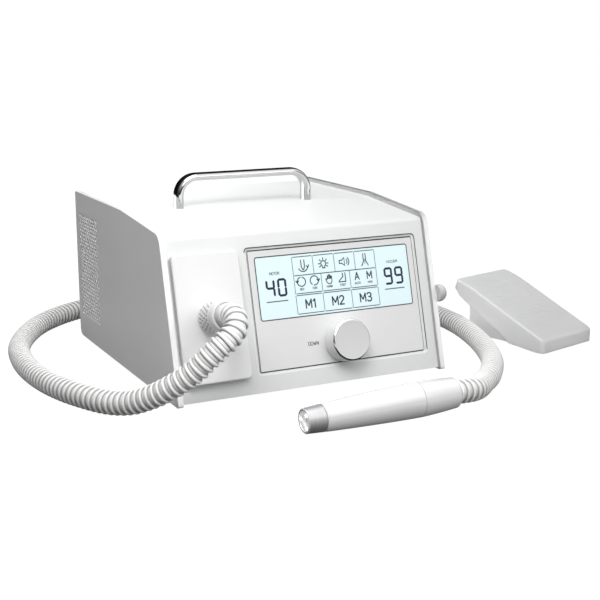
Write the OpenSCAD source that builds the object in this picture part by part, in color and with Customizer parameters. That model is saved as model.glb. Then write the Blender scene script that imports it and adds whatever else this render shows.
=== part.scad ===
// Tabletop rotary-drill unit with built-in suction: a control unit, a handpiece on a ribbed hose
// and a foot pedal. Millimetres, +Z up, +Y to the back. The origin is on the floor under the
// middle foot of the control unit.

/* [Housing] */
// Width over the two side panels
unit_w = 280; // [260:1:320]
// Depth along the lower edge of a side panel
unit_d = 298; // [280:1:330]
// Height of a side panel
panel_h = 158; // [150:1:180]
// Thickness of a side panel
panel_t = 5.5; // [4:0.5:8]
// Lean of the front, in degrees from upright
lean = 15.3; // [10:0.1:20]
// Level part of the top, from the back edge to the ridge
flat_l = 151; // [135:1:165]
// Fall of the top from the ridge to the front corner
top_fall = 8.8; // [5:0.2:13]
// Depth of the cover below the edges of the side panels
inset = 4; // [2:0.5:6]
// Wall of the cover
cover_t = 3.5; // [3:0.5:5]
// Outer radius of the bend between top and front
bend_r = 9; // [6:0.5:14]
// Thickness of the base plate
base_t = 3; // [2:0.5:5]
// Height of the base plate above the lower edge of the side panels
base_up = 2; // [1:0.5:4]
// Height of a rubber foot
foot_h = 6; // [5:0.5:10]
// Width of a rubber foot where it stands
foot_d = 16; // [12:1:24]
// Distance of the rear panel from the back edges of the side panels
rear_in = 5; // [3:0.5:10]
// Thickness of the rear panel
rear_t = 2.5; // [2:0.5:4]

/* [Side vents] */
// Width of a vent hole
vent_d = 4; // [3:0.5:5]
// Distance between neighbouring vent holes
vent_pitch = 7; // [6:0.5:10]
// Length of the vent field, front to back
vent_l = 62; // [40:1:90]
// Height of the vent field
vent_h = 124; // [80:1:130]
// Distance of the field from the back edge
vent_back = 9; // [7:1:20]
// Height of the field's lowest row above the lower edge
vent_up = 20; // [14:1:24]

/* [Carrying handle] */
// Distance between the two legs
handle_span = 140.5; // [120:0.5:170]
// Height of the bar above the top
handle_rise = 34; // [30:1:60]
// Thickness of the bar, seen from the front
handle_t = 8; // [6:0.5:10]
// Width of the bar, front to back
handle_w = 17; // [12:0.5:22]
// Outer radius of the handle's bends
handle_r = 22.5; // [16:0.5:26]
// Place of the handle's middle across the unit
handle_x = -6; // [-20:1:20]
// Distance of the handle behind the ridge
handle_back = 9; // [9:1:30]
// Width of a handle screw
handle_screw_d = 5; // [4:0.5:6]

/* [Display] */
// Width of the display panel
screen_w = 177.6; // [160:0.2:178]
// Height of the display panel
screen_h = 113; // [105:0.5:118]
// Place of the display's middle across the unit
screen_x = 33; // [31:0.5:35]
// Place of the display's middle up the front
screen_s = 77.8; // [75:0.2:82]
// Thickness of the display panel
screen_t = 1.8; // [1.5:0.1:2]
// Corner radius of the display panel
screen_r = 4; // [2:0.5:8]
// Width of the shallow step round the display panel
rim_w = 2.6; // [1.5:0.1:3]
// Depth of that step
rim_d = 0.7; // [0.4:0.1:0.8]
// Margin beside the lit window
lcd_side = 7.1; // [6:0.1:14]
// Height of the lit window
lcd_h = 58.8; // [50:0.2:60]
// Height of the window's middle above the display's middle
lcd_up = 20; // [18:0.5:21]
// Thickness of the screen module behind the window
lcd_t = 8; // [6:0.5:12]
// Diameter of the turning knob at its base
knob_d = 40; // [30:0.5:44]
// Height of the knob above the display panel
knob_h = 19; // [12:0.5:24]
// Distance of the knob below the display's middle
knob_down = 36.2; // [33:0.2:38]
// Diameter of the knob's shaft
shaft_d = 6; // [5:0.5:8]

/* [Hose port] */
// Width of the raised port plate
plate_w = 65; // [56:1:66]
// Height of the raised port plate
plate_h = 117; // [100:1:124]
// Height of the plate above the cover
plate_t = 8; // [5:0.5:10]
// Corner radius of the plate
plate_r = 9; // [6:0.5:14]
// Rounding of the plate's outer edge
plate_edge = 2; // [1:0.5:3]
// Place of the port's middle across the unit
plate_x = -99.5; // [-100:0.5:-99]
// Place of the port's middle up the front
plate_s = 77; // [74:0.5:80]
// Outer diameter of the hose
hose_d = 22; // [20:0.5:24]
// Diameter of the hose between its ribs
hose_valley_d = 18.6; // [17:0.2:19]
// Bore of the hose
hose_bore = 14.4; // [12:0.2:15]
// Number of ribs on the hose
hose_ribs = 180; // [60:1:200]
// Outer diameter of the union collar
collar_d = 30.4; // [29:0.2:36]
// Length of the union collar
collar_l = 33; // [28:0.5:40]
// Outer diameter of the port's spigot
spigot_d = 19; // [18:0.5:20]
// Bore of the port's spigot
spigot_bore = 15; // [13:0.5:16]

/* [Suction] */
// Width of the filter chamber
chamber_w = 58; // [50:1:62]
// Height of the filter chamber
chamber_h = 124; // [110:1:130]
// Place of the chamber's back wall
chamber_back = -22; // [-30:1:-15]
// Wall of the filter chamber
chamber_t = 2; // [1.5:0.5:3]
// Diameter of the suction fan's case
fan_d = 92; // [80:1:94]
// Depth of the suction fan's case
fan_l = 34; // [28:1:40]
// Place of the fan's axis across the unit
fan_x = -85; // [-86:0.5:-84]
// Height of the fan's axis
fan_z = 62; // [60:1:70]
// Diameter of the fan's inlet
inlet_d = 24; // [18:1:26]
// Diameter of the suction motor
motor_d = 64; // [50:1:70]
// Length of the suction motor
motor_l = 62; // [50:1:70]
// Diameter of the suction motor's shaft
motor_shaft_d = 8; // [6:0.5:10]

/* [Handpiece] */
// Length of the handpiece
hp_l = 149.5; // [140:0.5:170]
// Diameter of its nose
hp_nose_d = 21.8; // [21:0.2:23]
// Diameter of its nose ring at the back
hp_ring_d = 24.2; // [24:0.2:26]
// Length of its nose ring
hp_ring_l = 17; // [15:0.5:22]
// Largest diameter, at the seam of the two sleeves
hp_max_d = 31.5; // [31:0.1:36]
// Diameter of its rear end
hp_rear_d = 27.2; // [27:0.2:31]
// Length of its rear sleeve
hp_rear_l = 38.5; // [34:0.5:44]
// Slope of the handpiece as it lies, in degrees
hp_tilt = 1.5; // [1.3:0.1:1.8]
// Place of the nose across the unit
hp_x = -68; // [-80:0.5:-60]
// Distance of the handpiece in front of the origin
hp_y = -250; // [-260:1:-240]
// Diameter of the tool shank that the chuck takes
shank_d = 2.35; // [1.6:0.01:3]
// Grip length of the chuck
chuck_l = 20; // [14:1:22]

/* [Foot pedal] */
// Width of the treadle
ped_w = 86; // [78:1:96]
// Length of the treadle
ped_l = 121; // [112:1:135]
// Height of the treadle's low front end
ped_front_h = 16; // [15:0.5:18]
// Height of the treadle's back end
ped_back_h = 64; // [60:0.5:68]
// Corner radius of the treadle, seen from above
ped_corner_r = 5; // [3:0.5:6]
// Wall of the treadle and of the pedal's base
ped_wall = 2.5; // [2:0.25:3]
// Distance of the pedal's base inside the sides of the treadle
ped_inset = 13; // [12:0.5:16]
// Height of the pedal's feet
ped_foot = 2.5; // [2:0.5:4]
// Travel of the treadle, in degrees
ped_press = 5; // [3:0.5:6]
// Place of the pedal's front left corner across the unit
ped_x = 263.5; // [262:0.5:300]
// Distance of that corner behind the origin
ped_y = -143.5; // [-150:0.5:-120]
// Turn of the pedal on the floor, in degrees
ped_turn = 15; // [5:1:16]
// Diameter of the hinge pin
ped_pin_d = 4; // [3:0.5:5]

/* [Hidden] */
$fn = 48;
// Seams between fixed pieces
seam = 0.3;
// Radial play of a shaft in its bearing
play = 0.05;
// Reach of a cut past the piece that it cuts
over = 1;

// Housing
side_in = unit_w / 2 - panel_t;
back_y = unit_d / 2;
front_y = -unit_d / 2;
panel_z = foot_h - base_up;
top_z = panel_z + panel_h;
ridge_y = back_y - flat_l;
nose_z = top_z - top_fall;
nose_y = front_y + (nose_z - panel_z) * tan(lean);
fall_rate = top_fall / (ridge_y - nose_y);
cover_top = top_z - inset;
base_top = foot_h + base_t;
base_front = front_line(base_top, inset + cover_t) + seam;
rear_face = back_y - rear_in;
cover_back = rear_face + 2;
block_w = 14;
base_screw_d = 4;
base_screw_l = 13;
foot_side = 32;
foot_front = 26;
foot_back = 24;
panel_corner_r = 3;
panel_heel_r = 8;
panel_nose_r = 12;

// Display stack, counted outwards from the edges of the side panels
screen_out = -inset - rim_d;
screen_in = screen_out - screen_t;
board_t = 1.6;
board_out = screen_in - lcd_t;
screen_lip = 4;
lcd_w = screen_w - 2 * lcd_side;
lcd_rim = 2;
knob_play = 0.6;
encoder_w = 13;
bushing_d = shaft_d + 3;

// Port, counted outwards from the edges of the side panels
plate_out = plate_t - inset;
collar_out = plate_out + 0.4;
neck_l = 4.3;
ring_l = 3.6;
ring_r = spigot_d / 2 + 2.9;
hose_out = collar_out + neck_l + ring_l + 4;
hose_run = hose_out + hose_d;
flange_t = 3;
flange_r = spigot_d / 2 + 3.5;
spigot_in = -inset - cover_t - flange_t - chamber_t - 8;
knurls = 24;
knurl_d = 2.6;
knurl_deep = 0.7;

// Suction
chamber_face = inset + cover_t + flange_t;
gasket_t = 2;
fan_y = chamber_back + gasket_t;
fan_wall = 2.5;
motor_y = fan_y + fan_l;
motor_wall = 2.5;
rotor_d = motor_d - 16;
rotor_end = 6;
saddle_in = 10;
wheel_gap = 3;

// Boards
psu_x = 24;
psu_y = 8;
psu_w = 96;
psu_l = 112;
psu_up = 8;
post_d = 6;
psu_z = base_top + psu_up;
core_w = psu_w * 0.48;
core_l = psu_l / 2;
core_h = core_w * 0.83;
coil_over = 6;
cap_d = 22;
cap_h = 34;
cap_gap = 4;
sink_in = 16;
sink_front = 12;

// Handpiece, counted from the nose along its axis
hp_rest = 0.15;
hp_seam = hp_l - hp_rear_l;
hp_z = hp_max_d / 2 / cos(hp_tilt) + hp_rest - hp_seam * sin(hp_tilt);
ring_bore = hp_nose_d / 2 - 2.3;
insert_r = ring_bore - 2 * play;
mouth_r = insert_r * 0.54;
light_r = 1.5;
sleeve_at = hp_ring_l + seam;
insert_l = sleeve_at + 9;
sleeve_bore = insert_r + 2.1;
rear_bore = hp_rear_d / 2 - 1.5;
cuff_in = 20;
cuff_end = hp_l - cuff_in;
cuff_l = 10;
drill_d = sleeve_bore * 2 - 4.6;
drill_at = sleeve_at + 20;
drill_l = hp_seam - drill_at - 17.2;
spindle_d = 5;
chuck_d = mouth_r * 2 - 2.6;
chuck_at = 4;

// Pedal, counted from the treadle's front left corner
crown_l = 21;
crown_fall = 6;
crown_y = ped_l - crown_l;
crown_z = ped_back_h - crown_fall;
roof_rate = (crown_z - ped_front_h) / crown_y;
roof_angle = atan(roof_rate);
roof_t = ped_wall / cos(roof_angle);
skirt_h = 17;
skirt_toe = 45;
lip_in = 4;
lip_z = ped_back_h - 11;
pin_y = 10;
pin_z = ped_front_h - 5;
pin_blind = 1.5;
ped_mid = ped_w / 2;
tray_half = ped_mid - ped_inset;
tray_front = pin_y - 5;
tray_back = ped_l - lip_in - ped_wall - 4.5;
tray_back_h = ped_back_h - skirt_h - 1.8;
ped_foot_d = 11;
grip_lines = 16;
grip_pitch = 5;
grip_side = 6;
grip_w = 1.2;
grip_h = 0.4;
spring_in = 22;
spring_y = tray_back - spring_in;
spring_r = 6;
sensor_y = skirt_toe;

// Line of the front, g inside the side panels' edges: its place at height z
function front_line(z, g) = front_y + (z - panel_z) * tan(lean) + g / cos(lean);

// Corner of those two lines
function corner(g) =
    let (
        start = front_y - panel_z * tan(lean) + g / cos(lean),
        z = (top_z - g - fall_rate * (ridge_y - start)) / (1 - fall_rate * tan(lean))
    )
    [front_line(z, g), z];

// Height of the treadle's top at place y
function roof_z(y) = ped_front_h + y * roof_rate;

function unit(v) = v / norm(v);

// Outline with rounded corners: points p in order and a radius for each
function rounded(p, r, steps = 6) =
    [for (i = [0 : len(p) - 1])
        let (
            b = p[i],
            u = unit(p[(i + len(p) - 1) % len(p)] - b),
            v = unit(p[(i + 1) % len(p)] - b),
            half = acos(u * v) / 2,
            mid = r[i] > 0 ? b + unit(u + v) * r[i] / sin(half) : b,
            from = b + u * r[i] / tan(half) - mid,
            to = b + v * r[i] / tan(half) - mid,
            start = atan2(from.y, from.x),
            turn = atan2(to.y, to.x) - start,
            sweep = turn > 180 ? turn - 360 : turn < -180 ? turn + 360 : turn
        )
        each r[i] > 0
            ? [for (k = [0 : steps])
                mid + r[i] * [cos(start + sweep * k / steps), sin(start + sweep * k / steps)]]
            : [b]];

function box_corners(w, h) = [[-w / 2, -h / 2], [w / 2, -h / 2], [w / 2, h / 2], [-w / 2, h / 2]];

// Rectangle with rounded corners
module round_box(w, h, r) {
    polygon(rounded(box_corners(w, h), [r, r, r, r]));
}

// Solid of a side-view outline (y, z) from x0 to x1
module slab(x0, x1, outline) {
    translate([x0, 0, 0])
        rotate([90, 0, 90])
            linear_extrude(x1 - x0)
                polygon(outline);
}

// Puts children on the leaning front: x across, s up the front, out square to it
module on_front(x, s, out) {
    translate([0, front_y, panel_z])
        rotate([90 - lean, 0, 0])
            translate([x, s, out])
                children();
}

// Puts children on the rear panel's outer face, with +Z out of it
module on_rear(x, z) {
    translate([x, rear_face, z])
        rotate([-90, 0, 0])
            children();
}

// Puts children on the handpiece: +Z runs from its nose to its rear
module on_handpiece() {
    translate([hp_x, hp_y, hp_z])
        rotate([0, 90 - hp_tilt, 0])
            children();
}

// Puts children on the pedal: +X to its right, +Y from its low front to its back
module on_pedal() {
    translate([ped_x, ped_y, 0])
        rotate([0, 0, ped_turn])
            children();
}

// Puts children on the suction fan's axis: +Z runs to the back
module on_fan(y) {
    translate([fan_x, y, fan_z])
        rotate([-90, 0, 0])
            children();
}

module ring(outer, inner, h) {
    difference() {
        cylinder(r = outer, h = h);
        translate([0, 0, -over])
            cylinder(r = inner, h = h + 2 * over);
    }
}

// Children at the four base corners that carry a block and a screw
module at_blocks() {
    for (x = [-1, 1] * (side_in - block_w / 2))
        for (y = [chamber_back + block_w, rear_face - rear_t - block_w])
            translate([x, y, 0])
                children();
}

// Children at the two legs of the handle
module at_legs() {
    for (x = [-1, 1] * handle_span / 2)
        translate([handle_x + x, ridge_y + handle_back, 0])
            children();
}

function panel_outline() = rounded(
    [[front_y, panel_z], [back_y, panel_z], [back_y, top_z], [ridge_y, top_z], [nose_y, nose_z]],
    [panel_corner_r, panel_heel_r, panel_corner_r, 0, panel_nose_r]);

module vent_holes() {
    row_rise = vent_pitch * sin(60);
    rows = floor((vent_h - vent_d) / row_rise);
    columns = floor((vent_l - vent_d) / vent_pitch);
    for (row = [0 : rows])
        for (column = [0 : columns - row % 2])
            translate([
                -over,
                back_y - vent_back - vent_d / 2 - (column + (row % 2) / 2) * vent_pitch,
                panel_z + vent_up + vent_d / 2 + row * row_rise
            ])
                rotate([0, 90, 0])
                    cylinder(d = vent_d, h = panel_t + 2 * over);
}

module left_panel() {
    color("darkgray")
        translate([-unit_w / 2, 0, 0])
            difference() {
                slab(0, panel_t, panel_outline());
                vent_holes();
            }
}

module right_panel() {
    color("darkgray")
        translate([side_in, 0, 0])
            difference() {
                slab(0, panel_t, panel_outline());
                vent_holes();
                translate([-over, peg_y, peg_z])
                    rotate([0, 90, 0])
                        cylinder(d = peg_stud_d + 2 * play, h = panel_t + 2 * over);
            }
}

// Holder peg on the right side
peg_y = front_y + 20;
peg_up = 73;
peg_z = panel_z + peg_up;
peg_d = 17;
peg_l = 9.5;
peg_round = 6.4;
peg_stud_d = 6;

module holder_peg() {
    color("whitesmoke")
        translate([unit_w / 2, peg_y, peg_z])
            rotate([0, 90, 0])
                union() {
                    rotate_extrude()
                        polygon(rounded(
                            [[0, 0], [peg_d / 2, 0], [peg_d / 2, peg_l], [0, peg_l]],
                            [0, 0, peg_round, 0]));
                    translate([0, 0, -panel_t])
                        cylinder(d = peg_stud_d, h = panel_t + peg_l / 2);
                }
}

module cover_body() {
    lower = cover_t + inset;
    slab(-side_in, side_in, rounded(
        [
            [cover_back, cover_top],
            [ridge_y, cover_top],
            corner(inset),
            [front_line(foot_h, inset), foot_h],
            [front_line(foot_h, lower), foot_h],
            corner(lower),
            [ridge_y, top_z - lower],
            [cover_back, top_z - lower]
        ],
        [0, 0, bend_r, 0, 0, bend_r - cover_t, 0, 0]));
}

module cover() {
    color("white")
        difference() {
            cover_body();
            on_front(screen_x, screen_s, -inset - rim_d)
                linear_extrude(rim_d + over)
                    round_box(screen_w + 2 * rim_w, screen_h + 2 * rim_w, screen_r + rim_w);
            on_front(screen_x, screen_s, screen_in)
                linear_extrude(screen_t + over)
                    round_box(screen_w + 2 * seam, screen_h + 2 * seam, screen_r + seam);
            on_front(screen_x, screen_s, -inset - cover_t - over)
                linear_extrude(cover_t + over)
                    round_box(screen_w - 2 * screen_lip, screen_h - 2 * screen_lip, screen_r);
            on_front(plate_x, plate_s, -inset - cover_t - over)
                cylinder(r = spigot_d / 2 + seam, h = cover_t + 2 * over);
            at_legs()
                translate([0, 0, cover_top - cover_t - over])
                    cylinder(r = handle_screw_d / 2 + seam, h = cover_t + 2 * over);
        }
}

module base_plate() {
    color("gainsboro")
        difference() {
            translate([-side_in, base_front, foot_h])
                cube([2 * side_in, rear_face - base_front, base_t]);
            at_blocks()
                translate([0, 0, foot_h - over])
                    cylinder(r = base_screw_d / 2 + play, h = base_t + 2 * over);
            at_blocks()
                translate([0, 0, foot_h])
                    cylinder(r1 = base_screw_d + play, r2 = base_screw_d / 2 + play, h = base_screw_d / 2);
        }
}

module corner_blocks() {
    color("silver")
        at_blocks()
            difference() {
                translate([-block_w / 2, -block_w / 2, base_top])
                    cube(block_w);
                translate([0, 0, base_top - over])
                    cylinder(r = base_screw_d / 2 + play, h = base_screw_l - base_t + 2 * over);
            }
}

module base_screws() {
    color("silver")
        at_blocks()
            translate([0, 0, foot_h])
                union() {
                    cylinder(r1 = base_screw_d, r2 = base_screw_d / 2, h = base_screw_d / 2);
                    cylinder(d = base_screw_d, h = base_screw_l);
                }
}

module rubber_feet() {
    foot_y = [base_front + foot_front, rear_face - foot_back];
    color("dimgray")
        union() {
            cylinder(d1 = foot_d, d2 = foot_d + 3, h = foot_h);
            for (x = [-1, 1] * (side_in - foot_side))
                for (y = foot_y)
                    translate([x, y, 0])
                        cylinder(d1 = foot_d, d2 = foot_d + 3, h = foot_h);
        }
}

// Rear panel and what is set in it
rear_up = 42;
rear_z = foot_h + rear_up;
inlet_x = 92;
inlet_w = 28;
inlet_h = 21;
inlet_deep = 16;
inlet_wall = 2;
inlet_flange_w = 50;
inlet_flange_t = 3;
rocker_x = 46;
rocker_w = 12;
rocker_h = 17;
rocker_wall = 1.6;
rocker_frame_t = 2;
rocker_frame_l = 13;
rocker_swing = 8;
rocker_pin_d = 2.4;
rocker_pin_in = 4;
jack_x = 8;
jack_d = 6.4;
jack_l = 24;
jack_bush_d = 10;
exhaust_x = -86;
exhaust_slots = 9;
exhaust_pitch = 9;
exhaust_w = 4;
exhaust_h = 56;
exhaust_up = 56;
exhaust_z = foot_h + exhaust_up;

module rear_panel() {
    color("gainsboro")
        difference() {
            translate([-side_in, rear_face - rear_t, base_top])
                cube([2 * side_in, rear_t, cover_top - cover_t - base_top]);
            on_rear(inlet_x, rear_z)
                translate([0, 0, -rear_t - over])
                    linear_extrude(rear_t + 2 * over)
                        square([inlet_w + 2 * seam, inlet_h + 2 * seam], center = true);
            on_rear(rocker_x, rear_z)
                translate([0, 0, -rear_t - over])
                    linear_extrude(rear_t + 2 * over)
                        square([
                            rocker_w + 2 * (rocker_wall + 2 * seam),
                            rocker_h + 2 * (rocker_wall + 4 * seam)
                        ], center = true);
            on_rear(jack_x, rear_z)
                translate([0, 0, -rear_t - over])
                    cylinder(d = jack_bush_d + 2 * seam, h = rear_t + 2 * over);
            for (i = [0 : exhaust_slots - 1])
                on_rear(exhaust_x + (i - (exhaust_slots - 1) / 2) * exhaust_pitch, exhaust_z)
                    translate([0, 0, -rear_t - over])
                        linear_extrude(rear_t + 2 * over)
                            round_box(exhaust_w, exhaust_h, exhaust_w / 2 - 0.1);
        }
}

module mains_inlet() {
    blade_l = 10;
    color("dimgray")
        on_rear(inlet_x, rear_z)
            difference() {
                union() {
                    linear_extrude(inlet_flange_t)
                        round_box(inlet_flange_w, inlet_h + 3, 4);
                    translate([0, 0, -inlet_deep - inlet_wall])
                        linear_extrude(inlet_deep + inlet_wall)
                            square([inlet_w, inlet_h], center = true);
                }
                translate([0, 0, inlet_flange_t - inlet_deep])
                    linear_extrude(inlet_deep + over)
                        polygon(rounded(
                            box_corners(inlet_w - 2 * inlet_wall, inlet_h - 2 * inlet_wall),
                            [5, 5, 1, 1]));
            }
    color("silver")
        on_rear(inlet_x, rear_z)
            for (at = [[-7, -1.5], [0, 3], [7, -1.5]])
                translate([at.x - 1, at.y - 2, inlet_flange_t - inlet_deep])
                    cube([2, 4, blade_l]);
}

module rocker_frame() {
    hole_w = rocker_w + 2 * seam;
    hole_h = rocker_h + 6 * seam;
    color("dimgray")
        on_rear(rocker_x, rear_z)
            difference() {
                union() {
                    linear_extrude(rocker_frame_t)
                        round_box(hole_w + 4 * rocker_wall, hole_h + 4 * rocker_wall, 2);
                    translate([0, 0, -rocker_frame_l])
                        linear_extrude(rocker_frame_l)
                            square([hole_w + 2 * rocker_wall, hole_h + 2 * rocker_wall], center = true);
                }
                translate([0, 0, -rocker_frame_l + rocker_wall])
                    linear_extrude(rocker_frame_l + rocker_frame_t)
                        square([hole_w, hole_h], center = true);
                translate([-hole_w / 2 - rocker_wall / 2, 0, -rocker_pin_in])
                    rotate([0, 90, 0])
                        cylinder(d = rocker_pin_d + 2 * play, h = hole_w + rocker_wall);
            }
}

module power_rocker() {
    end_up = 2.6;
    middle_up = 1.4;
    deep = 4;
    color("black")
        on_rear(rocker_x, rear_z)
            translate([0, 0, -rocker_pin_in])
                rotate([rocker_swing, 0, 0])
                    union() {
                        rotate([90, 0, 90])
                            translate([0, 0, -rocker_w / 2])
                                linear_extrude(rocker_w)
                                    polygon([
                                        [-rocker_h / 2, rocker_pin_in + rocker_frame_t + end_up],
                                        [0, rocker_pin_in + rocker_frame_t - middle_up],
                                        [rocker_h / 2, rocker_pin_in + rocker_frame_t + end_up],
                                        [rocker_h / 2 - 2, 0],
                                        [3, -deep],
                                        [-3, -deep],
                                        [-rocker_h / 2 + 2, 0]
                                    ]);
                        translate([-rocker_w / 2 - rocker_wall / 2, 0, 0])
                            rotate([0, 90, 0])
                                cylinder(d = rocker_pin_d, h = rocker_w + rocker_wall);
                    }
}

module pedal_jack() {
    nut_d = 14;
    nut_t = 2.5;
    body_w = 15;
    color("dimgray")
        on_rear(jack_x, rear_z)
            difference() {
                union() {
                    translate([0, 0, -rear_t - 0.1])
                        cylinder(d = jack_bush_d, h = rear_t + nut_t + 1.5);
                    cylinder(d = nut_d, h = nut_t, $fn = 6);
                    translate([-body_w / 2, -body_w / 2, -jack_l - rear_t])
                        cube([body_w, body_w, jack_l]);
                }
                translate([0, 0, -jack_l])
                    cylinder(d = jack_d, h = jack_l + nut_t + 1.4 + over);
            }
}

// Section of the handle: rounded ends front and back
module handle_section() {
    square([handle_t, handle_w - handle_t], center = true);
    for (y = [-1, 1] * (handle_w - handle_t) / 2)
        translate([0, y])
            circle(d = handle_t);
}

module handle_half() {
    axis_r = handle_r - handle_t / 2;
    leg_l = handle_rise - handle_r;
    translate([handle_span / 2, 0, 0])
        linear_extrude(leg_l)
            handle_section();
    translate([handle_span / 2 - axis_r, 0, leg_l])
        rotate([90, 0, 0])
            rotate_extrude(angle = 90)
                translate([axis_r, 0])
                    handle_section();
    translate([0, 0, handle_rise - handle_t / 2])
        rotate([0, 90, 0])
            linear_extrude(handle_span / 2 - axis_r)
                handle_section();
}

handle_thread = 9;

module carry_handle() {
    color("silver")
        difference() {
            translate([handle_x, ridge_y + handle_back, cover_top])
                union() {
                    handle_half();
                    mirror([1, 0, 0])
                        handle_half();
                }
            at_legs()
                translate([0, 0, cover_top - over])
                    cylinder(r = handle_screw_d / 2 + play, h = handle_thread + 1 + over);
        }
}

module handle_screws() {
    head_h = 3.5;
    color("silver")
        at_legs()
            translate([0, 0, cover_top - cover_t - head_h])
                union() {
                    cylinder(d = handle_screw_d * 1.8, h = head_h);
                    cylinder(d = handle_screw_d, h = head_h + cover_t + handle_thread);
                }
}

module display_panel() {
    color("gainsboro")
        on_front(screen_x, screen_s, screen_in)
            difference() {
                linear_extrude(screen_t)
                    round_box(screen_w, screen_h, screen_r);
                translate([0, lcd_up, -over])
                    linear_extrude(screen_t + 2 * over)
                        round_box(lcd_w + 2 * seam, lcd_h + 2 * seam, 2);
                translate([0, -knob_down, -over])
                    cylinder(d = bushing_d + 2 * seam, h = screen_t + 2 * over);
            }
}

module lcd_glass() {
    color("azure")
        on_front(screen_x, screen_s + lcd_up, screen_in)
            linear_extrude(screen_t)
                round_box(lcd_w, lcd_h, 2);
}

module lcd_module() {
    color("lightgray")
        on_front(screen_x, screen_s + lcd_up, board_out)
            linear_extrude(lcd_t)
                round_box(lcd_w + 2 * lcd_rim, lcd_h + 2 * lcd_rim, lcd_rim / 2);
}

module control_board() {
    margin = 5.5;
    color("darkgreen")
        on_front(screen_x, screen_s, board_out - board_t)
            linear_extrude(board_t)
                round_box(screen_w - 2 * margin, screen_h - 2 * margin, 2);
}

// Posts under both circuit boards
module board_posts() {
    low = lcd_up - lcd_h / 2 - post_d - 2;
    color("gold")
        union() {
            for (x = [-1, 1] * (screen_w / 2 - 12))
                for (s = [low, -screen_h / 2 + 12])
                    on_front(screen_x + x, screen_s + s, board_out)
                        cylinder(d = post_d, h = lcd_t);
            for (x = [psu_x + post_d, psu_x + psu_w - post_d])
                for (y = [psu_y + post_d, psu_y + psu_l - post_d])
                    translate([x, y, base_top])
                        cylinder(d = post_d, h = psu_up);
        }
}

module encoder() {
    color("dimgray")
        on_front(screen_x, screen_s - knob_down, board_out)
            difference() {
                union() {
                    translate([-encoder_w / 2, -encoder_w / 2, 0])
                        cube([encoder_w, encoder_w, lcd_t]);
                    cylinder(d = bushing_d, h = lcd_t + screen_t + knob_play / 2);
                }
                translate([0, 0, 2])
                    cylinder(r = shaft_d / 2 + play, h = lcd_t + screen_t + over);
            }
}

module encoder_shaft() {
    color("silver")
        on_front(screen_x, screen_s - knob_down, board_out + 2 + seam)
            cylinder(d = shaft_d, h = lcd_t + screen_t + knob_h * 0.6);
}

module control_knob() {
    crest = 1.6;
    dish = 0.8;
    taper = 0.5;
    socket = lcd_t + screen_t + knob_h * 0.6 - (screen_out + knob_play - board_out - 2 - seam);
    color("gainsboro")
        on_front(screen_x, screen_s - knob_down, screen_out + knob_play)
            difference() {
                rotate_extrude($fn = 96)
                    polygon(rounded(
                        [
                            [0, 0],
                            [knob_d / 2, 0],
                            [knob_d / 2 - taper, knob_h - knob_play],
                            [knob_d / 2 - 2 * crest, knob_h - knob_play],
                            [0, knob_h - knob_play - dish]
                        ],
                        [0, 0.6, crest, 0, 0]));
                translate([0, 0, -over])
                    cylinder(r = shaft_d / 2 + play, h = socket + over + seam);
            }
}

// Plate with rounded corners and a rounded outer edge, standing on z = 0
module soft_plate(w, h, t, r, e) {
    rim = rounded([[0, 0], [r, 0], [r, t], [0, t]], [0, 0, e, 0]);
    cube_w = w - 2 * r;
    cube_h = h - 2 * r;
    translate([-cube_w / 2, -cube_h / 2, 0])
        cube([cube_w, cube_h, t]);
    for (i = [0 : 3])
        rotate([0, 0, 90 * i]) {
            long = i % 2 == 0 ? cube_w : cube_h;
            wide = i % 2 == 0 ? cube_h : cube_w;
            translate([long / 2, wide / 2, 0])
                rotate_extrude(angle = 90)
                    polygon(rim);
            translate([long / 2, wide / 2, 0])
                rotate([90, 0, 0])
                    linear_extrude(wide)
                        polygon(rim);
        }
}

module port_plate() {
    color("white")
        on_front(plate_x, plate_s, -inset)
            difference() {
                soft_plate(plate_w, plate_h, plate_t, plate_r, plate_edge);
                translate([0, 0, -over])
                    cylinder(r = spigot_d / 2 + seam, h = plate_t + 2 * over);
            }
}

module hose_spigot() {
    color("silver")
        on_front(plate_x, plate_s, 0)
            rotate_extrude()
                polygon([
                    [spigot_bore / 2, spigot_in],
                    [spigot_d / 2, spigot_in],
                    [spigot_d / 2, -inset - cover_t - flange_t],
                    [flange_r, -inset - cover_t - flange_t],
                    [flange_r, -inset - cover_t],
                    [spigot_d / 2, -inset - cover_t],
                    [spigot_d / 2, hose_out],
                    [spigot_bore / 2, hose_out]
                ]);
}

// Ring on the spigot that keeps the collar on it
module spigot_ring() {
    color("silver")
        on_front(plate_x, plate_s, collar_out + neck_l + seam)
            ring(ring_r, spigot_d / 2 + play, ring_l);
}

module hose_collar() {
    room_end = neck_l + ring_l + 2 * seam;
    chamfer = 1.4;
    rows = [9.6, 14.8];
    color("white")
        on_front(plate_x, plate_s, collar_out)
            difference() {
                rotate_extrude($fn = 96)
                    polygon([
                        [spigot_d / 2 + play, 0],
                        [collar_d / 2 - chamfer, 0],
                        [collar_d / 2, chamfer],
                        [collar_d / 2, collar_l - 2 * chamfer],
                        [collar_d / 2 - chamfer, collar_l],
                        [hose_d / 2 + 2 * seam, collar_l],
                        [hose_d / 2 + 2 * seam, room_end],
                        [ring_r + seam, room_end],
                        [ring_r + seam, neck_l],
                        [spigot_d / 2 + play, neck_l]
                    ]);
                for (row = [0 : 1])
                    for (i = [0 : knurls - 1])
                        rotate([0, 0, (i + row / 2) * 360 / knurls])
                            translate([collar_d / 2 - knurl_deep, 0, rows[row]])
                                rotate([0, 90, 0])
                                    cylinder(d = knurl_d, h = knurl_deep + over, $fn = 4);
            }
}

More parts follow.
